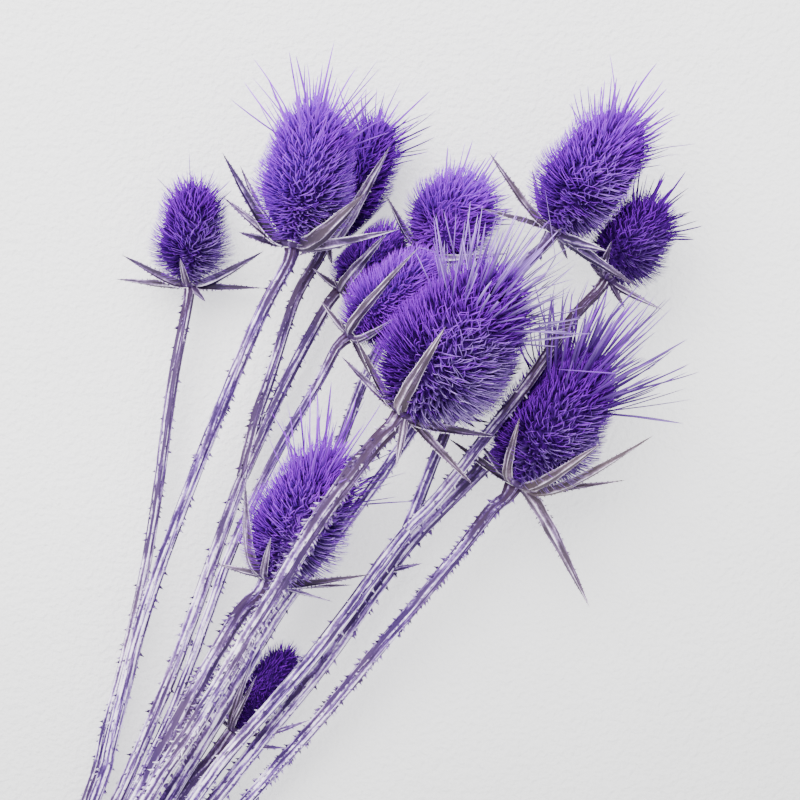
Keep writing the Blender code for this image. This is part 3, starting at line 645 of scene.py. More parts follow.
def dry_finish(name, stops, wear_and_highlight, beige, deep=None, ribbed=0.5, pale_from=1.66):
    """Dry plant skin: streaks along the fibre, beige where it took no dye, lighter on its ridges and
    darker in its furrows, partly its own colour and partly painted highlight and painted shade.
    """
    finish = Finish(name, {"Roughness": 0.65, "Specular IOR Level": 0.3})
    across_fibre = finish.value_at("around")
    along_fibre = finish.value_at("length")
    place = finish.node("ShaderNodeCombineXYZ", {}, {0: across_fibre, 1: along_fibre})
    streaks = finish.noise(1.0, 5.0, place) + (finish.noise(800.0) - 0.5) * 0.25
    broad = finish.noise(0.3, 1.0, place)
    patches = finish.noise(28.0)
    ridge = finish.value_at("ridge")
    tint = finish.value_at("tint")
    near = finish.value_at("near")
    # Lighter on the ridges and darker in the furrows: partly the skin's own colour, partly painted
    # highlight and painted shade.
    shade = clamped(
        (ridge - 0.5) * ribbed + (streaks - 0.5) * 3.2 + (broad - 0.5) * 2.0
        + (tint - 0.5) * 0.3 + 0.42 - near * 0.3
    )
    dyed = finish.ramp(shade, stops)
    dry = clamped(finish.value_at("dry") * 0.65 + (patches - 0.5) * 1.2)
    bare = finish.blend(shade, at_level(beige, 0.4), at_level(beige, 1.5))
    colour = finish.blend(dry, dyed, bare)
    # Pale where ridges and light streaks meet: the skin's pale streaks, with painted highlight on the
    # ridges.
    pale = clamped((ridge * ribbed + streaks * 1.6 + broad * 0.8 - near * 0.25 - pale_from) * 3.0)
    colour = finish.blend(pale, colour, (*wear_and_highlight, 1))
    if deep:
        soaked = clamped(finish.value_at("deep") * (1.05 - ridge * 0.5 - (streaks - 0.5) * 3.5))
        colour = finish.blend(soaked, colour, (*deep, 1))
    bump = finish.node("ShaderNodeBump", {}, {"Strength": 0.35, "Distance": 0.0004, "Height": streaks})
    return finish.feed({"Base Color": colour, "Normal": bump})


def stem_finish():
    """Violet streaks between pale ribs, partly painted highlight, soaked dark towards the heads."""
    stops = [
        (0.0, (0.03, 0.008, 0.08)),
        (0.35, (0.12, 0.05, 0.25)),
        (0.7, (0.31, 0.18, 0.54)),
        (1.0, (0.68, 0.52, 0.94)),
    ]
    return dry_finish(
        "dyed stem", stops, (0.92, 0.84, 1.0), (0.34, 0.21, 0.36), deep=(0.032, 0.011, 0.04),
        ribbed=0.6, pale_from=1.47,
    )


def bract_finish():
    """Darker and browner than the stems, with pale margins and midribs, partly painted highlight."""
    stops = [
        (0.0, (0.018, 0.007, 0.04)),
        (0.35, (0.065, 0.028, 0.13)),
        (0.7, (0.21, 0.12, 0.35)),
        (1.0, (0.60, 0.49, 0.76)),
    ]
    return dry_finish(
        "dyed bract", stops, (0.84, 0.76, 0.92), (0.26, 0.19, 0.19), deep=(0.05, 0.016, 0.09),
        ribbed=1.1, pale_from=1.95,
    )


def raffia_finish():
    """Straw, left undyed."""
    stops = [
        (0.0, (0.30, 0.20, 0.10)),
        (0.5, (0.55, 0.42, 0.25)),
        (1.0, (0.74, 0.62, 0.42)),
    ]
    return dry_finish("raffia", stops, (0.82, 0.72, 0.52), (0.60, 0.48, 0.30))


# Heads


def head_profile(head, length):
    """Distances along the axis and radii of the body from its seat over its round top."""
    share = np.linspace(0, 1, 160)
    radius = head.girth * girth_at(share, TOP_ROUNDNESS)
    turn = np.linspace(0, math.pi / 2, 30)[1:]
    dome = length + DOME_RISE * head.girth * np.sin(turn)
    return np.append(share * length, dome), np.append(radius, radius[-1] * np.cos(turn))


def girth_at(share, roundness=SOLID_ROUNDNESS):
    """The body's radius along its axis, as a share of the greatest: an egg with a flat seat."""
    rise = np.sin(math.pi / 2 * np.minimum(share / WIDEST, 1)) ** SEAT_ROUNDNESS
    high = np.sqrt(1 - (np.maximum(share - WIDEST, 0) / TOP_SHARE) ** roundness)
    return np.where(share < WIDEST, SEAT_SHARE + (1 - SEAT_SHARE) * rise, high)


def squeezed(points, start, normal, limit, soft, weight):
    """Bends points back to within limit of start along normal, softly from soft before it."""
    ahead = (points - start) @ normal
    over = np.maximum(ahead - (limit - soft), 0)
    kept = soft * (1 - np.exp(-over / soft))
    return points - ((over - kept) * weight)[:, None] * normal


def stem_lines():
    """The middle lines of the trunks and arms, each with its stem's number."""
    lines = []
    for number, stem in STEMS.items():
        lines.append((number, smooth_path(trunk_points(stem), 30)))
        if len(stem.arms) > 1:
            for head, arm in stem.arms.items():
                lines.append((number, smooth_path(arm_points(stem, head, arm), 30)))
    return lines


def pressed(number, points, blade):
    """The head's points, bent aside where another head or a crossing stem lies against it.

    blade is 1 at the points of the long blades, which pass the stems and give less to heads.
    """
    base, way, length = axis_of(HEADS[number])
    tip = base + way * length
    own = HEADS[number]
    for other, head in HEADS.items():
        if other == number:
            continue
        base_2, way_2, length_2 = axis_of(head)
        tip_2 = base_2 + way_2 * length_2
        mine, its = nearest_pair(base, tip, base_2, tip_2)
        apart = np.linalg.norm(its - mine)
        if apart > own.girth + own.top_spine + head.girth + head.top_spine:
            continue
        girth = own.girth * girth_at(min(1, np.linalg.norm(mine - base) / length))
        girth_2 = head.girth * girth_at(min(1, np.linalg.norm(its - base_2) / length_2))
        limit = girth + (apart - girth - girth_2 - HEAD_GAP) / 2
        reach = head.girth + head.spine + HEAD_FADE / 2
        off = np.linalg.norm(points - nearest_on(base_2, tip_2, points), axis=1)
        weight = np.clip(1 + (reach - off) / HEAD_FADE, 0, 1) * (1 - BLADE_STIFF * blade)
        points = squeezed(points, mine, (its - mine) / apart, limit, HEAD_SOFT, weight)
    for stem, line in STEM_LINES:
        if number in STEMS[stem].arms:
            continue
        radius = STEMS[stem].radius + PRICKLE_HEIGHT
        for start, end in zip(line, line[1:]):
            mine, its = nearest_pair(base, tip, start, end)
            apart = np.linalg.norm(its - mine)
            if apart > own.girth + own.top_spine:
                continue
            normal = (its - mine) / apart
            along = unit(end - start)
            aside = np.abs((points - its) @ unit(np.cross(along, normal)))
            past = np.abs((points - (start + end) / 2) @ along) - np.linalg.norm(end - start) / 2
            weight = np.clip((radius + STEM_ASIDE - aside) / STEM_FADE, 0, 1)
            weight *= np.clip((STEM_PAST - past) / STEM_FADE, 0, 1) * (1 - blade)
            points = squeezed(points, mine, normal, apart - radius - STEM_GAP, STEM_SOFT, weight)
    return points


def over_floor(points):
    """Bends what would go into the surface up along it."""
    points = points.copy()
    deep = points[:, 2] < FLOOR_GAP + FLOOR_SOFT
    over = (points[deep, 2] - FLOOR_GAP - FLOOR_SOFT) / FLOOR_SOFT
    points[deep, 2] = FLOOR_GAP + FLOOR_SOFT * np.exp(over)
    return points


def past_bracts(number, points, share):
    """Spine points pushed off the bracts that they would cross, most at the spines' tips."""
    for tip, width, _ in BRACTS[number]:
        path = bract_curve(number, tip, width, np.linspace(0, 1, 9))
        for start, end in zip(path, path[1:]):
            away = points - nearest_on(start, end, points)
            gap = np.linalg.norm(away, axis=1)
            short = np.maximum(width / 2 + BRACT_GAP - gap, 0) * share
            points = points + unit(away) * short[:, None]
    return points


def kept_under(number, root, middle, ends):
    """How much of each spine is left where a bract crosses it: all of it, or the part below."""
    left = np.ones(len(root))
    broader = BROADER.get(number, 1)
    for tip, width, _ in BRACTS[number]:
        path = bract_curve(number, tip, width, np.linspace(0, 1, 13))
        halves = broader * width / 2 * bract_widths_at(run_along(path))
        for start, end, half in zip(path, path[1:], halves):
            for mark in np.linspace(1, 0.1, 13):
                place = bowed(root, middle, ends, mark)
                gap = np.linalg.norm(place - nearest_on(start, end, place), axis=1)
                kept = np.minimum(left, mark - CUT_SHORT)
                left = np.where(gap < half + CROSS_GAP, kept, left)
    return np.maximum(left, LEAST_LEFT)


class Body:
    """A head's egg. A place on it is the distance run from its seat, and an angle round it."""

    def __init__(self, number):
        self.head = HEADS[number]
        self.base, self.way, self.length = axis_of(self.head)
        self.side, self.up = across(self.way)
        self.ahead, self.radii = head_profile(self.head, self.length)
        steps = np.hypot(np.diff(self.ahead), np.diff(self.radii))
        self.run = np.append(0, np.cumsum(steps))
        self.area = np.append(0, np.cumsum(math.pi * (self.radii[1:] + self.radii[:-1]) * steps))

    def outward(self, angle):
        return round_line(self.side, self.up, angle)

    def slope(self, at, values):
        after, before = (np.interp(at + step, self.run, values) for step in (SLOPE_STEP, -SLOPE_STEP))
        return after - before

    def scattered(self, count, least_share, draw):
        """Evenly scattered roots from a share of the length on, by the golden angle."""
        least = np.interp(least_share * self.length, self.ahead, self.area)
        marks = least + (np.arange(count) + 0.5) * (self.area[-1] - least) / count
        at = np.interp(marks, self.area, self.run)
        angle = np.arange(count) * GOLDEN_ANGLE + draw.normal(0, 0.05, count)
        out = self.outward(angle)
        ahead = np.interp(at, self.run, self.ahead)
        radius = np.interp(at, self.run, self.radii)
        root = self.base + ahead[:, None] * self.way + radius[:, None] * out
        normal = unit(
            self.slope(at, self.ahead)[:, None] * out
            - self.slope(at, self.radii)[:, None] * self.way
        )
        share = np.clip(ahead / self.length, 0, 1)
        return root - normal * BODY_SINK, normal, np.cross(self.way, out), share, angle


def add_spines(growth, form, root, middle, end, beside, half, twist, kink, **values):
    """Tapering spines, each on a curve from its root past its middle to its end, kinked by kink."""
    t = form.places[None, :, None]
    centre = bowed(root[:, None], middle[:, None], end[:, None], t)
    tip = end + kink * (1 - KINK_FROM)
    centre = centre + kink[:, None] * np.maximum(t - KINK_FROM, 0)
    tangent = unit(2 * (1 - t) * (middle - root)[:, None] + 2 * t * (end - middle)[:, None])
    flat = unit(beside[:, None] - (beside[:, None] * tangent).sum(-1, keepdims=True) * tangent)
    flat, inner = turned(flat, np.cross(tangent, flat), twist[:, None, None] * t)
    across_it, into_it = form.section[:, 0][:, None], form.section[:, 1][:, None]
    section = flat[:, :, None] * across_it + inner[:, :, None] * into_it
    width = (half[:, None] * form.widths)[:, :, None, None]
    rings = centre[:, :, None] + section * width
    growth.lofts(rings, tip, along=form.places[:, None], edge=form.edges, **values)


def dyed_and_shaded_at(number, share, normal, draw):
    """How pale each spine of a head is painted, from its head's dye, its place along the body, and
    painted shade on its seat and on its side away from the light.
    """
    pale = draw.uniform(0, 1, len(share)) - DEEPER.get(number, 0)
    # Painted shade: spines on the side away from the light are painted darker.
    pale = pale - SIDE_PAINTED_SHADE * np.maximum(0, normal @ SHADED_SIDE)
    # Darker towards the seat: deeper dye, with painted shade where the spines are short.
    return (pale - SEAT_DYE_AND_SHADE * np.maximum(0, 1 - share / 0.5))[:, None, None]


def head_piece(number, finish):
    """The body, its curved spines and its tuft of long blades."""
    head = HEADS[number]
    body = Body(number)
    way = body.way
    draw = np.random.default_rng(number)
    growth = Growth("along", "edge", "tint", "blade", "frost")
    small = head.girth / USUAL_GIRTH

    rows = np.linspace(0, body.run[-1] - CORE_SINK, BODY_ROWS)
    row_radii = np.maximum(np.interp(rows, body.run, body.radii) - CORE_SINK, LEAST_CORE)
    rings = body.base + np.interp(rows, body.run, body.ahead)[:, None, None] * way
    rings = rings + row_radii[:, None, None] * body.outward(round_turn(BODY_COLUMNS))
    core_top = body.base + way * (body.ahead[-1] - CORE_SINK)
    growth.lofts(rings[None], core_top[None], body.base[None], tint=0.5)

    count = int(body.area[-1] / (SPINE_CELL * small**0.5))
    root, normal, around, share, angle = body.scattered(count, 0, draw)
    grown = np.maximum(0, (share - GROWN_FROM) / (1 - GROWN_FROM))
    rise = np.sin(math.pi * np.minimum(1, share / GROWN_FROM))
    long = head.spine * (SHORTEST_SPINE + (1 - SHORTEST_SPINE) * rise)
    long = long * (1 + TOP_GROWTH * grown * draw.uniform(0, 1, count)) * draw.uniform(0.85, 1.1, count)
    long = long * LONGER + BODY_SINK - TRIMMED
    lean = np.interp(share, *SPINE_LEAN) * draw.uniform(0.75, 1.25, count)
    wild = np.sin(2 * angle + draw.uniform(0, 6)) * np.sin(5 * share + draw.uniform(0, 6))
    low = np.sqrt(np.clip(1 - share / FROST_TO, 0, 1))
    low = low * np.clip(0.45 + 0.8 * normal @ SHADED_SIDE, 0, 1)
    frost = FROSTED.get(number, 0) * low * draw.uniform(0, 1, count)
    curl = draw.normal(0, 1, count) * (CURL + WILD_CURL * wild + FROST_CURL * frost)
    sway = draw.normal(0, SWAY, count)
    first = unit(normal - 0.05 * way + (sway - 0.5 * curl)[:, None] * around)
    last = unit(0.9 * normal + lean[:, None] * way + (sway + curl)[:, None] * around)
    long = long * kept_under(
        number, root, root + (ELBOW * long)[:, None] * first, root + long[:, None] * last
    )
    add_spines(
        growth, SPINE, root, root + (ELBOW * long)[:, None] * first,
        root + long[:, None] * last, around,
        SPINE_HALF * small**0.35 * draw.uniform(0.8, 1.2, count),
        draw.normal(0, SPINE_TWIST, count), np.zeros((count, 3)),
        tint=dyed_and_shaded_at(number, share, normal, draw), frost=frost[:, None, None],
    )

    tuft = TUFTS.get(number, TUFT_ELSE)
    count = int(tuft.count * small**0.7)
    root, normal, around, share, angle = body.scattered(count, TUFT_FROM, draw)
    inward = (share - TUFT_FROM) / (1 - TUFT_FROM)
    long = head.top_spine * draw.uniform(tuft.least, tuft.most, count)
    long = long * (OUTER_BLADE + (1 - OUTER_BLADE) * inward)
    aimed = 1.2 * normal + tuft.drawn * draw.uniform(0.2, 1.2, count)[:, None] * way
    last = unit(aimed + draw.normal(0, BLADE_SCATTER, (count, 3)))
    first = unit(last + draw.normal(0, BLADE_SCATTER / 2, (count, 3)))
    kink = draw.normal(0, 1, (count, 3)) - last
    kink = kink * (long * (draw.uniform(0, 1, count) < KINKED))[:, None]
    add_spines(
        growth, BLADE, root, root + 0.5 * long[:, None] * first, root + long[:, None] * last,
        around, BLADE_HALF * tuft.wider * small**0.3 * draw.uniform(0.75, 1.2, count),
        draw.normal(0, BLADE_TWIST, count), kink, tint=dyed_and_shaded_at(number, share, normal, draw),
        blade=1.0, frost=tuft.white * draw.uniform(0.3, 1, count)[:, None, None],
    )
    spine_share = np.concatenate(growth.values["along"])
    blade = np.concatenate(growth.values["blade"])

    def settled(points):
        return over_floor(pressed(number, past_bracts(number, points, spine_share), blade))

    return growth.piece(
        f"head_{number:02d}_spines", finish, [f"head_{number:02d}"], settled, sharp=50
    )


# Bracts


def whorl_radius(head):
    """The radius of the cup under a head."""
    return max(WHORL_LEAST, WHORL_SHARE * head.girth)


def bract_curve(number, tip, width, places):
    """A curve from the whorl out past the head's body, and up to the tip."""
    head = HEADS[number]
    base, way, length = axis_of(head)
    end = placed(tip)
    out = end - base - ((end - base) @ way) * way
    start = base + unit(out) * BRACT_ROOT * whorl_radius(head) - way * (SEAT_GAP + WHORL_THICK / 2)
    clear = BODY_CLEAR + BRACT_KEEL * width / 2
    for past in BRACT_BENDS:
        bend = base + out * past - way * (SEAT_GAP + WHORL_THICK)
        pulls = start, start + (bend - start) * ROOT_PULL, end + (bend - end) * TIP_PULL, end
        coarse = cubic(pulls, BRACT_SOLID_PLACES)
        tried = np.concatenate([coarse[:-1], (coarse[:-1] + coarse[1:]) / 2])
        ahead = (tried - base) @ way
        off = np.linalg.norm(tried - base - ahead[:, None] * way, axis=1)
        beside = (ahead > 0) & (ahead < length)
        body = head.girth * girth_at(np.clip(ahead / length, 0, 1))
        if np.all(off[beside] > body[beside] + clear):
            break
    return cubic(pulls, places)


def bract_widths_at(run):
    """A bract's widths at distances along it, as shares of its greatest."""
    return np.interp(run / run[-1], BRACT_PLACES, BRACT_WIDTHS)


def cubic(pulls, places):
    """Points at places along the curve that four points pull."""
    t = np.asarray(places, float)[:, None]
    start, first, second, end = pulls
    curve = (1 - t) ** 3 * start + 3 * t * (1 - t) ** 2 * first
    return curve + 3 * t**2 * (1 - t) * second + t**3 * end


# Across a bract, from its left edge under its keel to its right edge and back over its hollow.
BRACT_SECTION = np.array([
    (-1.0, 0.34), (-0.8, 0.15), (-0.4, -0.14), (0.0, -0.5), (0.4, -0.14), (0.8, 0.15), (1.0, 0.34),
    (0.93, 0.44), (0.7, 0.26), (0.35, 0.05), (0.0, -0.2), (-0.35, 0.05), (-0.7, 0.26), (-0.93, 0.44),
])
# How far each point of the section is painted pale: margins and midrib partly painted highlight,
# hollows partly painted shade.
BRACT_RIDGES = np.array([1, 0.35, 0.1, 0.9, 0.1, 0.35, 1, 1, 0.35, 0.05, 0.6, 0.05, 0.35, 1])


def add_bract(growth, path, widths, flat_way, dry, draw):
    """A channelled, pointed bract along a path, with prickles on its edges."""
    tangent = unit(np.gradient(path, axis=0))
    side = unit(np.cross(tangent, flat_way))
    twist = (draw.normal(0, BRACT_TWIST) * np.linspace(0, 1, len(path)) ** 2)[:, None]
    side, inner = turned(side, np.cross(side, tangent), twist)
    half = widths / 2
    wave = 1 + 0.06 * np.sin(np.arange(len(path)) * 1.3 + draw.uniform(0, 6))
    across_it, into_it = BRACT_SECTION[:, 0][:, None], BRACT_SECTION[:, 1][:, None]
    section = side[:, None] * across_it + inner[:, None] * into_it
    rings = path[:, None] + section * (half * wave)[:, None, None]
    lengths = run_along(path)
    tint = draw.uniform(0, 1)
    growth.lofts(
        rings[None, :-1],
        path[-1][None],
        path[0][None],
        ridge=BRACT_RIDGES,
        around=BRACT_SECTION[:, 0] * 3.0 + 2 * BRACT_RIDGES + 20 * tint,
        length=(lengths * BRACT_STREAKS)[:-1, None],
        dry=dry,
        tint=tint,
        deep=0.7 * (1 - smooth_step(lengths / BRACT_SOAKED))[:-1, None],
    )
    count = int(lengths[-1] / EDGE_PRICKLE_STEP)
    if count < 3:
        return
    where = np.linspace(2, lengths[-1] - 3, count) + draw.uniform(-0.8, 0.8, count)
    for hand in (-1, 1):
        at = where + draw.uniform(-0.6, 0.6, count)
        edge = path + hand * side * (half * 0.95)[:, None] + inner * (half * 0.38)[:, None]
        along = interpolated(at, lengths, tangent)
        out = hand * interpolated(at, lengths, side) + PRICKLE_LEAN * along
        long = np.interp(where, lengths, half) * draw.uniform(0.2, 0.42, count) + 0.25
        add_prickles(growth, interpolated(at, lengths, edge), out, along, long, dry, draw)


def interpolated(at, marks, values):
    """Vectors read between marks."""
    return np.stack([np.interp(at, marks, values[:, k]) for k in range(3)], -1)


def add_prickles(growth, foot, out, along, long, dry, draw):
    """Small three-sided prickles, each from a sunken foot to a point."""
    out = unit(out)
    beside = unit(np.cross(out, unit(along)))
    ahead = np.cross(beside, out)
    turn = round_turn(3)[:, None]
    base_half = (0.2 + 0.24 * long)[:, None, None]
    ring = np.cos(turn) * beside[:, None] * 0.75 + np.sin(turn) * ahead[:, None] * 1.4
    low = foot[:, None] - out[:, None] * 0.25 + ring * base_half
    middle = foot[:, None] + (out * long[:, None] * 0.45)[:, None] + ring * base_half * 0.42
    growth.lofts(
        np.stack([low, middle], 1),
        foot + out * long[:, None],
        ridge=PRICKLE_RIDGES[:, None],
        around=draw.uniform(0, 40, len(foot))[:, None, None],
        dry=dry * 0.6,
        tint=draw.uniform(0, 1, len(foot))[:, None, None],
        near=0.25,
    )


def bracts_piece(number, finish):
    """The whorl under a head: its cup, its long bracts and the short ones between them."""
    head = HEADS[number]
    base, way, _ = axis_of(head)
    side, up = across(way)
    draw = np.random.default_rng(50 + number)
    growth = Growth("ridge", "around", "length", "dry", "tint", "near", "deep")

    turn = round_turn(24)
    out = round_line(side, up, turn)
    radius = whorl_radius(head)
    backs = SEAT_GAP + np.array([WHORL_THICK, 2.2, 1.2, 0])
    radii = np.array([0.62, 0.86, 1.0, 0.94]) * radius
    ripple = 1 + 0.05 * np.cos(9 * turn)
    rings = base - backs[:, None, None] * way + (radii[:, None] * ripple)[..., None] * out
    growth.lofts(
        rings[None],
        (base - way * SEAT_GAP)[None],
        (base - way * backs[0])[None],
        ridge=0.2 + 0.2 * np.cos(9 * turn),
        around=turn * 4,
        length=0.3,
        tint=0.3,
        deep=0.7,
    )
    for tip, width, dry in BRACTS[number]:
        path = bract_curve(number, tip, width, np.linspace(0, 1, BRACT_RINGS) ** 0.92)
        widths = BROADER.get(number, 1) * width * bract_widths_at(run_along(path))
        end = placed(tip)
        outward = unit(end - base - ((end - base) @ way) * way)
        flat_way = unit(way - 0.6 * outward)
        broad_way = math.copysign(BROAD_TURN, flat_way[2] + draw.uniform(-0.2, 0.2)) * UP
        add_bract(growth, path, widths, flat_way + broad_way, dry, draw)
    count = 5 if head.girth > 12 else 3
    for k in range(count):
        angle = 2 * math.pi * (k + draw.uniform(0.1, 0.9)) / count
        outward = math.cos(angle) * side + math.sin(angle) * up
        long = draw.uniform(0.35, 0.75) * head.girth
        start = base + outward * BRACT_ROOT * radius - way * (SEAT_GAP + WHORL_THICK / 2)
        end = start + outward * long + way * long * draw.uniform(-0.1, 0.35)
        t = np.linspace(0, 1, 10)[:, None]
        path = bowed(start, start + outward * long * 0.9, end, t)
        width = draw.uniform(1.6, 2.6) * (1 - t[:, 0] ** 1.5) + 0.06
        add_bract(growth, path, width, way - 0.3 * outward, draw.uniform(0.1, 0.5), draw)
    return growth.piece(
        f"bracts_{number:02d}_leaves", finish, [f"bracts_{number:02d}"], over_floor,
        sharp=40,
    )


# Stems


def trunk_points(stem):
    """The trunk's places from the cut end through the tie to where its arms begin."""
    way = TIE_WAY
    slot = np.array([*TIE_PLACE, LOWEST_ROW + stem.row * ROW_RISE]) - BUNCH_MIDDLE
    slot = slot + TIE_SIDE * stem.slot * PITCH
    cut = slot - way * (CUT_BELOW_TIE + stem.cut)
    middle = [placed(p) for p in stem.trunk]
    eased = [(a + 2 * b + c) / 4 for a, b, c in zip(middle, middle[1:], middle[2:])]
    points = [cut, slot - way * CUT_BELOW_TIE / 2, slot - way * TIE_WIDTH, slot + way * TIE_WIDTH]
    points += [middle[0], *eased, middle[-1]]
    if len(stem.arms) == 1:
        (number,) = stem.arms
        points += seat_points(number)
    return points


def seat_points(number):
    """The last two places of a stem, square under the whorl of the head that it carries."""
    base, way, _ = axis_of(HEADS[number])
    end = base - way * (2 * SEAT_GAP + WHORL_THICK)
    return [end - way * SQUARE_END, end]


def arm_points(stem, number, arm):
    """An arm's places, from a little way back inside its trunk to its head."""
    root, back = placed(stem.trunk[-1]), placed(stem.trunk[-2])
    start = root + ARM_SUNK * unit(back - root)
    return [start, *[placed(p) for p in arm], *seat_points(number)]


STEM_LINES = stem_lines()


def add_stem(growth, points, radius_at, seed, dry, cut=False, flare=0.0, soaked=None):
    """A ribbed stem along a curve, with prickles on its ribs and deeper dye near its head."""
    path = smooth_path(points, STEM_STEP)
    reaches_head = 1.0 if soaked else FORK_VIOLET
    soaked_length, soaked_depth = soaked or (10, 0)
    draw = np.random.default_rng(seed)
    lengths = run_along(path)
    total = lengths[-1]
    tangent = unit(np.gradient(path, axis=0))
    side = TIE_SIDE
    sides = []
    for way in tangent:
        side = unit(side - (side @ way) * way)
        sides.append(side)
    sides = np.array(sides)
    others = np.cross(tangent, sides)
    turn = round_turn(STEM_SIDES)
    radius = np.array([radius_at(s, total) for s in lengths])
    radius = radius * (1 + 0.03 * np.sin(lengths / 23 + draw.uniform(0, 6)))
    radius = radius + flare * smooth_step((lengths - total + FLARE_LENGTH) / FLARE_LENGTH) ** 2
    phase = draw.uniform(0, 2 * math.pi)
    rib_turn = STEM_RIBS * (turn[None] - RIB_TWIST * lengths[:, None]) + phase
    rib = 0.5 + 0.5 * np.cos(rib_turn)
    drawn = radius[:, None] * (1 - RIB_DEPTH + RIB_DEPTH * 2 * (rib - 0.5))
    out = round_line(sides[:, None], others[:, None], turn)
    rings = path[:, None] + out * drawn[..., None]
    start = path[0]
    run = lengths
    if cut:
        rim = path[0] + (rings[0] - path[0]) * CUT_RIM
        start = path[0] + tangent[0] * CUT_DISH
        rings = np.concatenate([(rim + tangent[0] * CUT_DISH)[None], rim[None], rings])
        run = np.append([-0.8, -0.4], lengths)
        rib = np.concatenate([rib[:1], rib[:1], rib])
    deep = soaked_depth * smooth_step((run - total + soaked_length) / soaked_length)
    growth.lofts(
        rings[None],
        path[-1][None],
        start[None],
        ridge=rib,
        around=np.cos(turn) * 3.6 + np.sin(turn) * 4.4 + seed,
        length=(run * STEM_STREAKS)[:, None],
        dry=dry,
        tint=draw.uniform(0, 1),
        deep=deep[:, None],
        near=reaches_head * smooth_step((run - total + VIOLET_RUN) / VIOLET_RUN)[:, None],
    )
    count = int(total * PRICKLES_PER_MM * PRICKLIER.get(seed, 1) * (np.mean(radius) / 3.0))
    where = np.sort(draw.uniform(3, total - 4, count))
    ribs = draw.integers(0, STEM_RIBS, count)
    angle = (2 * math.pi * ribs - phase) / STEM_RIBS + RIB_TWIST * where
    along = unit(interpolated(where, lengths, tangent))
    side_at = unit(interpolated(where, lengths, sides))
    away = round_line(side_at, np.cross(along, side_at), angle)
    radius_there = np.interp(where, lengths, radius)
    foot = interpolated(where, lengths, path) + away * radius_there[:, None]
    long = draw.uniform(0.5, 1.0, count) * LONG_PRICKLE * radius_there / 3.2
    add_prickles(growth, foot, away - PRICKLE_LEAN * along, along, long, dry, draw)


def stem_piece(number, finish):
    """A stem from its cut end to its heads, thickest from the cut end to just past the tie."""
    stem = STEMS[number]
    past_tie = CUT_BELOW_TIE + stem.cut + TIE_WIDTH
    arm_radius = min(stem.radius, THICKEST_ARM)
    growth = Growth("ridge", "around", "length", "dry", "tint", "near", "deep")
    draw = np.random.default_rng(200 + number)
    dry = draw.uniform(0.0, 0.35)
    forked = len(stem.arms) > 1

    def trunk_at(along, total):
        thick = max(0, 1 - max(0, along - past_tie) / TAPER_LENGTH)
        radius = stem.radius + (STEM_AT_TIE - stem.radius) * thick + SWOLLEN * (1 - thick)
        if forked:
            radius *= 1 - FORK_TAPER * float(smooth_step((along - total + FORK_RUN) / FORK_RUN))
        return radius

    def arm_at(along, total):
        return (arm_radius + SWOLLEN) * (1 - ARM_TAPER * along / total)

    def at_head(head, radius):
        """How an end that carries a head flares to its whorl, and how it is soaked with dye."""
        flare = max(0, WHORL_FLARE * whorl_radius(HEADS[head]) - radius)
        return {"flare": flare, "soaked": SOAKED.get(head, SOAKED_ELSE)}

    if forked:
        add_stem(growth, trunk_points(stem), trunk_at, number, dry, cut=True)
        for head, arm in stem.arms.items():
            points = arm_points(stem, head, arm)
            add_stem(growth, points, arm_at, 100 + head, dry, **at_head(head, arm_radius))
    else:
        (head,) = stem.arms
        end = at_head(head, stem.radius)
        add_stem(growth, trunk_points(stem), trunk_at, number, dry, cut=True, **end)
    for root, tip, width in SCRAPS.get(number, []):
        start, end = placed(root), placed(tip)
        t = np.linspace(0, 1, 12)[:, None]
        path = start + t * (end - start) + SCRAP_RISE * 4 * t * (1 - t) * UP
        add_bract(growth, path, width * bract_widths_at(t[:, 0]), UP, dry, draw)
    return growth.piece(f"stem_{number:02d}_ribbed", finish, [f"stem_{number:02d}"])


# The tie


def hull(points):
    """The convex outline of points in a plane, anticlockwise."""
    points = sorted(map(tuple, points))
    outline = []
    for ordered in (points, points[::-1]):
        part = []
        for p in ordered:
            while len(part) > 1 and (
                (part[-1][0] - part[-2][0]) * (p[1] - part[-2][1])
                - (part[-1][1] - part[-2][1]) * (p[0] - part[-2][0])
            ) <= 0:
                part.pop()
            part.append(p)
        outline += part[:-1]
    return np.array(outline)


def tie_outline(grow):
    """The outline of all stems at the tie, grown outwards: across it, and height."""
    points = []
    for stem in STEMS.values():
        x, z = stem.slot * PITCH, LOWEST_ROW + stem.row * ROW_RISE
        for a in round_turn(24):
            across_tie = round(x + (STEM_AT_TIE + grow) * math.cos(a), 4)
            points.append((across_tie, round(z + (STEM_AT_TIE + grow) * math.sin(a), 4)))
    return hull(points)


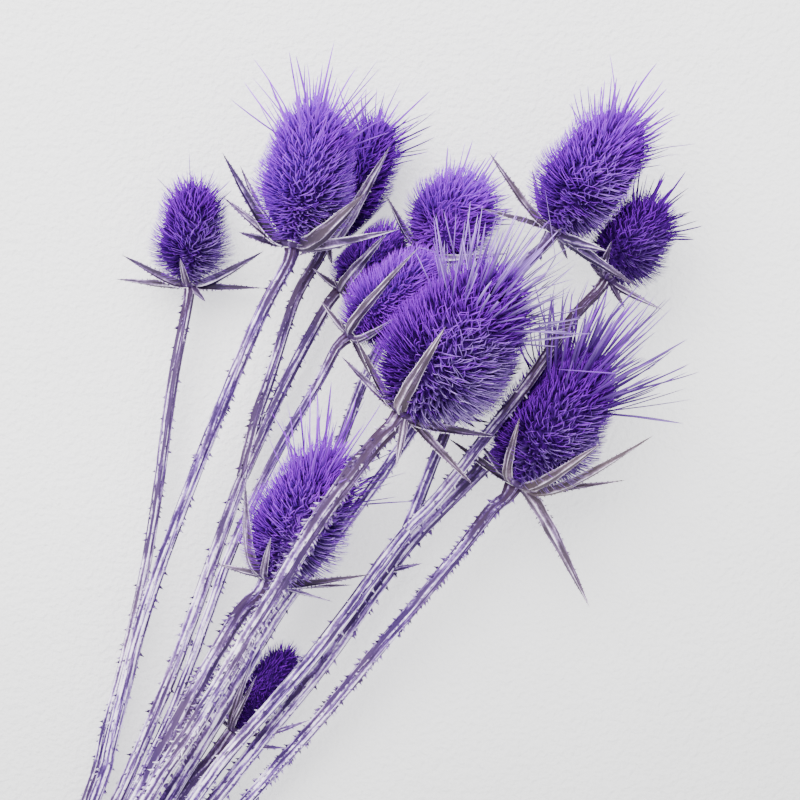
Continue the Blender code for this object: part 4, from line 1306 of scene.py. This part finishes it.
def tie_piece(finish):
    """Flat strands of raffia wound side by side round the stems, and their knot on top."""
    middle = np.array([*TIE_PLACE, 0]) - BUNCH_MIDDLE
    draw = np.random.default_rng(77)
    growth = Growth("ridge", "around", "length", "dry", "tint")

    def in_world(x, y, z):
        return middle + TIE_SIDE * x + TIE_WAY * y + UP * z

    def add_strand(path, flat, width, thick):
        tangent = unit(np.gradient(path, axis=0))
        beside = unit(np.cross(flat, tangent))
        face = np.cross(tangent, beside)
        turn = round_turn(10)
        section = (
            beside[:, None] * (np.cos(turn) * width / 2)[:, None]
            + face[:, None] * (np.sin(turn) * thick / 2 * (1 + 0.25 * np.cos(3 * turn)))[:, None]
        )
        growth.lofts(
            (path[:, None] + section)[None],
            path[-1][None],
            path[0][None],
            ridge=0.5 + 0.4 * np.cos(turn * 3),
            around=np.cos(turn) * 3 + np.sin(turn) + draw.uniform(0, 30),
            length=(run_along(path) * RAFFIA_STREAKS)[:, None],
            dry=draw.uniform(0, 0.4),
            tint=draw.uniform(0, 1),
        )

    strand = TIE_WIDTH / TIE_TURNS
    for k in range(TIE_TURNS):
        outline = tie_outline(SEAT_GAP + TIE_WALL / 2 + draw.uniform(-0.15, 0.1))
        outline = np.roll(outline, -int(np.argmax(outline[:, 1])), axis=0)
        loop = np.concatenate([outline, outline[:1]])
        centre = loop.mean(0)
        y = -TIE_WIDTH / 2 + strand * (k + 0.5) + draw.uniform(-0.2, 0.2, len(loop))
        points = [in_world(x, across_tie, z) for (x, z), across_tie in zip(loop, y)]
        path = smooth_path(points, 2.5)
        flat_points = [in_world(x, 0, z) - in_world(centre[0], 0, centre[1]) for x, z in loop]
        marks = np.linspace(0, 1, len(flat_points))
        flat = unit(interpolated(np.linspace(0, 1, len(path)), marks, np.array(flat_points)))
        add_strand(path, flat, strand * 1.12, 1.2)

    top = tie_outline(SEAT_GAP + TIE_WALL)[:, 1].max()

    def add_over(places, step, width, thick):
        path = smooth_path([in_world(x, y, top + rise) for x, y, rise in places], step)
        add_strand(path, np.broadcast_to(UP, path.shape), width, thick)

    for bow in (-1, 1):
        knot = [(-5 * bow, -4.5, 0), (-2 * bow, -1, 1.6), (1.5 * bow, 1.2, 1.9), (5 * bow, 4.5, 0.2)]
        add_over(knot, 1.2, 2.6, 1.1)
        tail = [(bow, 0.5, 1.2), (4 * bow, 7, 1.4), (6 * bow, 17, 0.6), (5 * bow + 4, 30, 1.5)]
        add_over(tail, 2.0, 2.3, 0.7)
    band = [(0, -4.4, 0.3), (0.4, -1.5, 2.6), (-0.4, 1.5, 2.6), (0, 4.4, 0.3)]
    add_over(band, 1.2, 3.0, 1.1)
    return growth.piece("tie_raffia", finish, ["tie"])


# What the bunch lies on, its light and its camera


def add_stage():
    """White plaster, painted a little darker towards the cut ends and to the right as painted light
    falloff, and glowing as painted light so that shadows stay soft.
    """
    # Painted light: the plaster glows, so that the bunch's shadows stay faint.
    glow = {"Emission Color": (1, 1, 1, 1), "Emission Strength": 0.95}
    finish = Finish("plaster", {"Roughness": 0.9, **glow})
    rough = finish.noise(9.0, 6.0)
    grain = finish.noise(330.0, 4.0)
    place = finish.node("ShaderNodeTexCoord", {}, {}, "Object")
    sideways = finish.node("ShaderNodeSeparateXYZ", {}, {"Vector": place}, "X")
    upwards = finish.node("ShaderNodeSeparateXYZ", {}, {"Vector": place}, "Y")
    # Painted light falloff: lighter away from the cut ends and to the left, towards the key light.
    painted_falloff = upwards * 2.0 - sideways * 0.4 + rough * 0.2 + 0.25
    greys = [(0.0, 0.42), (0.55, 0.66), (1.0, 0.66)]
    colour = finish.ramp(painted_falloff, [(stop, (grey, grey, grey)) for stop, grey in greys])
    height = rough * 0.4 + grain * 0.6
    bump = finish.node("ShaderNodeBump", {}, {"Strength": 1.0, "Distance": 0.003, "Height": height})
    mesh = bpy.data.meshes.new("plaster_surface")
    corners = [(x, y, -PLASTER_DROP) for x, y in ((-1, -1), (1, -1), (1, 1), (-1, 1))]
    corners = [(x * PLASTER_REACH, y * PLASTER_REACH, z) for x, y, z in corners]
    mesh.from_pydata(corners, [], [(0, 1, 2, 3)])
    mesh.materials.append(finish.feed({"Base Color": colour, "Normal": bump}))
    surface = linked("plaster_surface", mesh)


def add_light(name, place, target, size, power, colour):
    """A round soft light, aimed at a target."""
    data = bpy.data.lights.new(name, "AREA")
    data.shape = "DISK"
    data.size = size
    data.energy = power
    data.color = colour
    lamp = linked(name, data)
    lamp.location = place
    way = Vector(target) - Vector(place)
    lamp.rotation_euler = way.to_track_quat("-Z", "Y").to_euler()


def add_world():
    """Even light from all round."""
    world = bpy.data.worlds.new("soft room")
    world.use_nodes = True
    background = world.node_tree.nodes["Background"]
    background.inputs["Color"].default_value = (0.95, 0.96, 1.0, 1)
    background.inputs["Strength"].default_value = 1.7
    bpy.context.scene.world = world


def add_camera():
    """A camera that looks straight down on the middle of the fan."""
    data = bpy.data.cameras.new("from above")
    data.sensor_width = SENSOR
    data.lens = SENSOR * VIEW_HEIGHT / VIEW_WIDTH
    camera = linked("from above", data)
    middle = -BUNCH_MIDDLE * MM
    camera.location = (middle[0], middle[1], (MID_HEIGHT + VIEW_HEIGHT) * MM)
    bpy.context.scene.camera = camera


def main():
    add_camera()
    add_world()
    middle = tuple(-BUNCH_MIDDLE[:2] * MM) + (0.04,)
    warm, cool = (1.0, 0.98, 0.96), (0.97, 0.98, 1.0)
    add_light("key", (-0.4, 0.95, 1.2), middle, size=1.4, power=60, colour=warm)
    add_light("fill", (1.2, -0.5, 1.4), middle, size=1.6, power=8, colour=cool)
    add_stage()
    heads, bracts, stems = head_finish(), bract_finish(), stem_finish()
    for number in HEADS:
        head_piece(number, heads)
        bracts_piece(number, bracts)
    for number in STEMS:
        stem_piece(number, stems)
    tie_piece(raffia_finish())


main()
